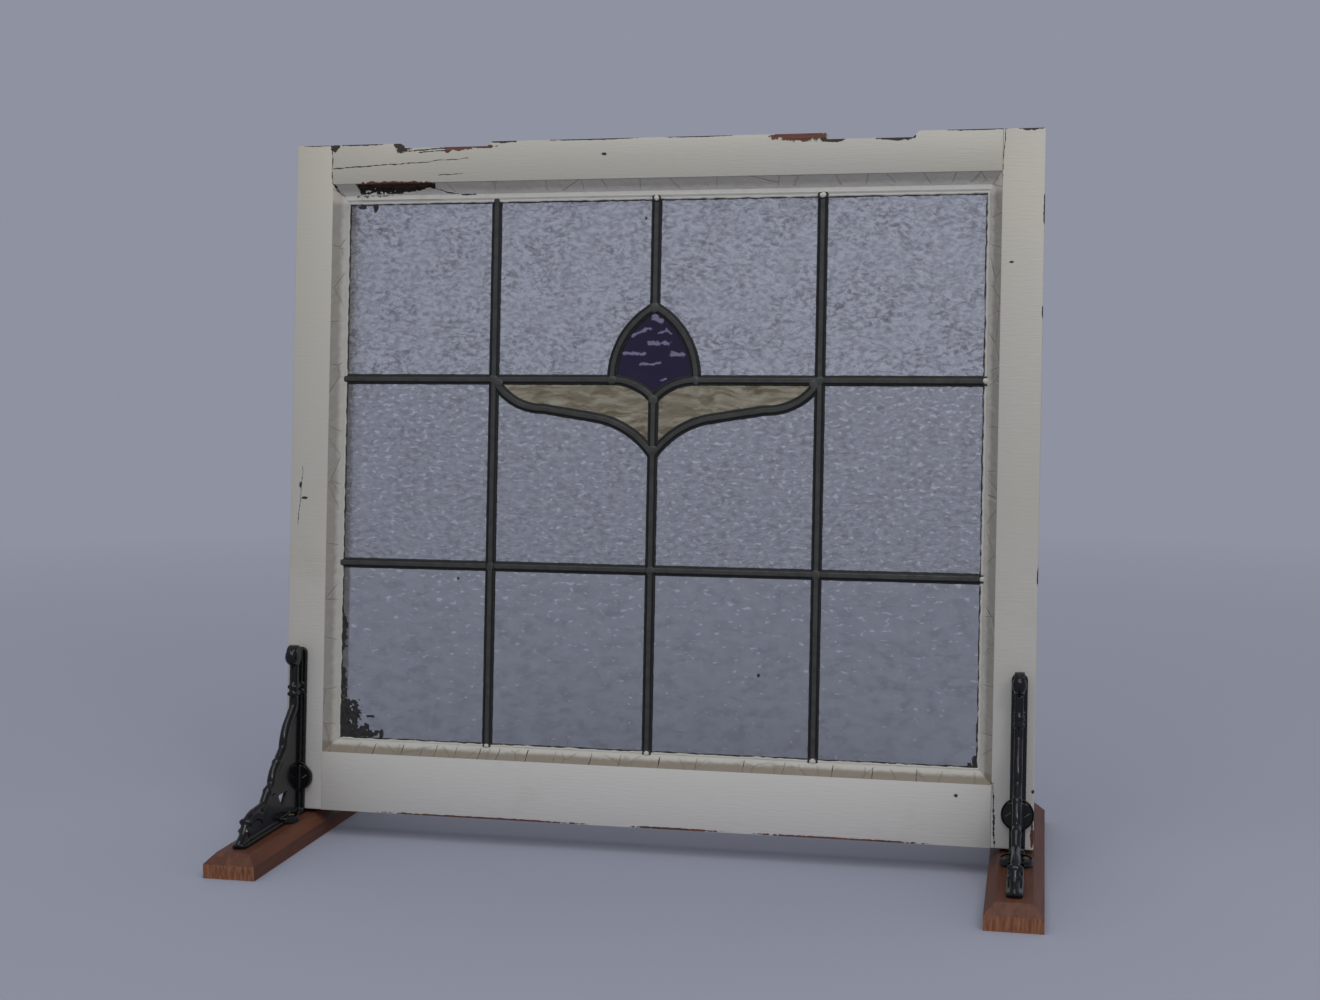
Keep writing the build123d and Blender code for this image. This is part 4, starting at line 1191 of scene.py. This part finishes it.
class LEADLIGHT_OT_stage(bpy.types.Operator):
    """Sets up the floor, the room behind it, the lamps and the camera"""
    bl_idname = "leadlight.stage"
    bl_label = "Stage"

    def execute(self, context):
        settings = context.scene.leadlight_stage
        self.floor(settings)
        self.room(settings)
        self.lamps()
        self.camera(context, settings)
        return {"FINISHED"}

    def blended(self, nodes, share, light, colour, glow, end):
        """Ends a tree with a light that gives way to a plain glow where the camera sees it."""
        path = nodes.tree.nodes.new("ShaderNodeLightPath").outputs
        seen = nodes.widest([path["Is Camera Ray"], path["Is Glossy Ray"], path["Is Transmission Ray"]])
        if share is not None:
            seen = nodes.math("MULTIPLY", share, seen)
        plain = nodes.add(glow, {"Color": (*colour, 1), "Strength": 1.0})
        both = nodes.add("ShaderNodeMixShader", {0: seen, 1: light, 2: plain})
        nodes.connect(end, {"Surface": both})

    def floor(self, settings):
        """Round floor that takes on the colour of the room away from the sash."""
        mesh = bpy.data.meshes.new("floor_sheet")
        disc = bmesh.new()
        bmesh.ops.create_circle(disc, cap_ends=True, segments=96, radius=12.0)
        disc.to_mesh(mesh)
        disc.free()
        sheet = bpy.data.objects.new("floor_sheet", mesh)
        bpy.context.scene.collection.objects.link(sheet)
        cloth = Finish("floor_cloth", settings.backdrop)
        cloth.shade({"Base Color": (*settings.backdrop, 1), "Roughness": 0.9})
        away = cloth.ramp(cloth.vector("LENGTH", cloth.object_place()), 0.7, 3.0)
        self.blended(cloth, away, cloth.shader.outputs[0], settings.backdrop, "ShaderNodeEmission",
                     cloth.end)
        mesh.materials.append(cloth.material)

    def room(self, settings):
        """Soft light from all round, and a plain room in the floor's colour where it is seen."""
        world = bpy.data.worlds.new("soft_room")
        bpy.context.scene.world = world
        world.use_nodes = True
        nodes = Nodes(world.node_tree)
        light = world.node_tree.nodes["Background"]
        nodes.connect(light, {"Color": (*settings.daylight, 1),
                              "Strength": settings.daylight_strength})
        self.blended(nodes, None, light.outputs[0], settings.backdrop, "ShaderNodeBackground",
                     world.node_tree.nodes["World Output"])

    def lamps(self):
        """Two area lamps, each with its place, size and power, turned to the sash."""
        for name, place, size, power in (("overhead", (0.3, -1.5, 2.7), 2.6, 34.0),
                                         ("window", (1.5, -2.1, 1.9), 0.45, 7.0)):
            lamp = bpy.data.lights.new(name, "AREA")
            lamp.size = size
            lamp.energy = power
            made = bpy.data.objects.new(name, lamp)
            made.location = place
            aim = Vector((0, 0, 0.3)) - Vector(place)
            made.rotation_euler = aim.to_track_quat("-Z", "Y").to_euler()
            bpy.context.scene.collection.objects.link(made)

    def camera(self, context, settings):
        data = bpy.data.cameras.new("photograph_view")
        data.sensor_width = 36.0
        data.lens = settings.camera_lens
        made = bpy.data.objects.new("photograph_view", data)
        made.location = settings.camera_place
        made.rotation_euler = settings.camera_turn
        context.scene.collection.objects.link(made)
        context.scene.camera = made
        context.scene.view_settings.view_transform = "Standard"


class LEADLIGHT_PT_panel(bpy.types.Panel):
    """Lists the steps that dress the sash"""
    bl_idname = "LEADLIGHT_PT_panel"
    bl_label = "Leaded Light"
    bl_space_type = "VIEW_3D"
    bl_region_type = "UI"
    bl_category = "Leaded Light"

    def draw(self, context):
        for key, _ in SETTINGS:
            box = self.layout.box()
            settings = getattr(context.scene, key)
            for name in settings.bl_rna.properties.keys():
                if name not in ("rna_type", "name"):
                    box.prop(settings, name)
        for step in STEPS:
            self.layout.operator(step.bl_idname)


SETTINGS = [("leadlight_timber", TimberSettings), ("leadlight_lead", LeadSettings),
            ("leadlight_glass", GlassSettings), ("leadlight_fittings", FittingSettings),
            ("leadlight_stage", StageSettings)]
STEPS = [LEADLIGHT_OT_timber, LEADLIGHT_OT_putty, LEADLIGHT_OT_light, LEADLIGHT_OT_fittings,
         LEADLIGHT_OT_stage]


def register():
    for key, group in SETTINGS:
        bpy.utils.register_class(group)
        setattr(bpy.types.Scene, key, bpy.props.PointerProperty(type=group))
    for kind in (*STEPS, LEADLIGHT_PT_panel):
        bpy.utils.register_class(kind)


def unregister():
    for kind in (*STEPS, LEADLIGHT_PT_panel):
        bpy.utils.unregister_class(kind)
    for key, group in SETTINGS:
        delattr(bpy.types.Scene, key)
        bpy.utils.unregister_class(group)


def main():
    register()
    for step in STEPS:
        group, name = step.bl_idname.split(".")
        getattr(getattr(bpy.ops, group), name)()


if __name__ == "__main__":
    main()
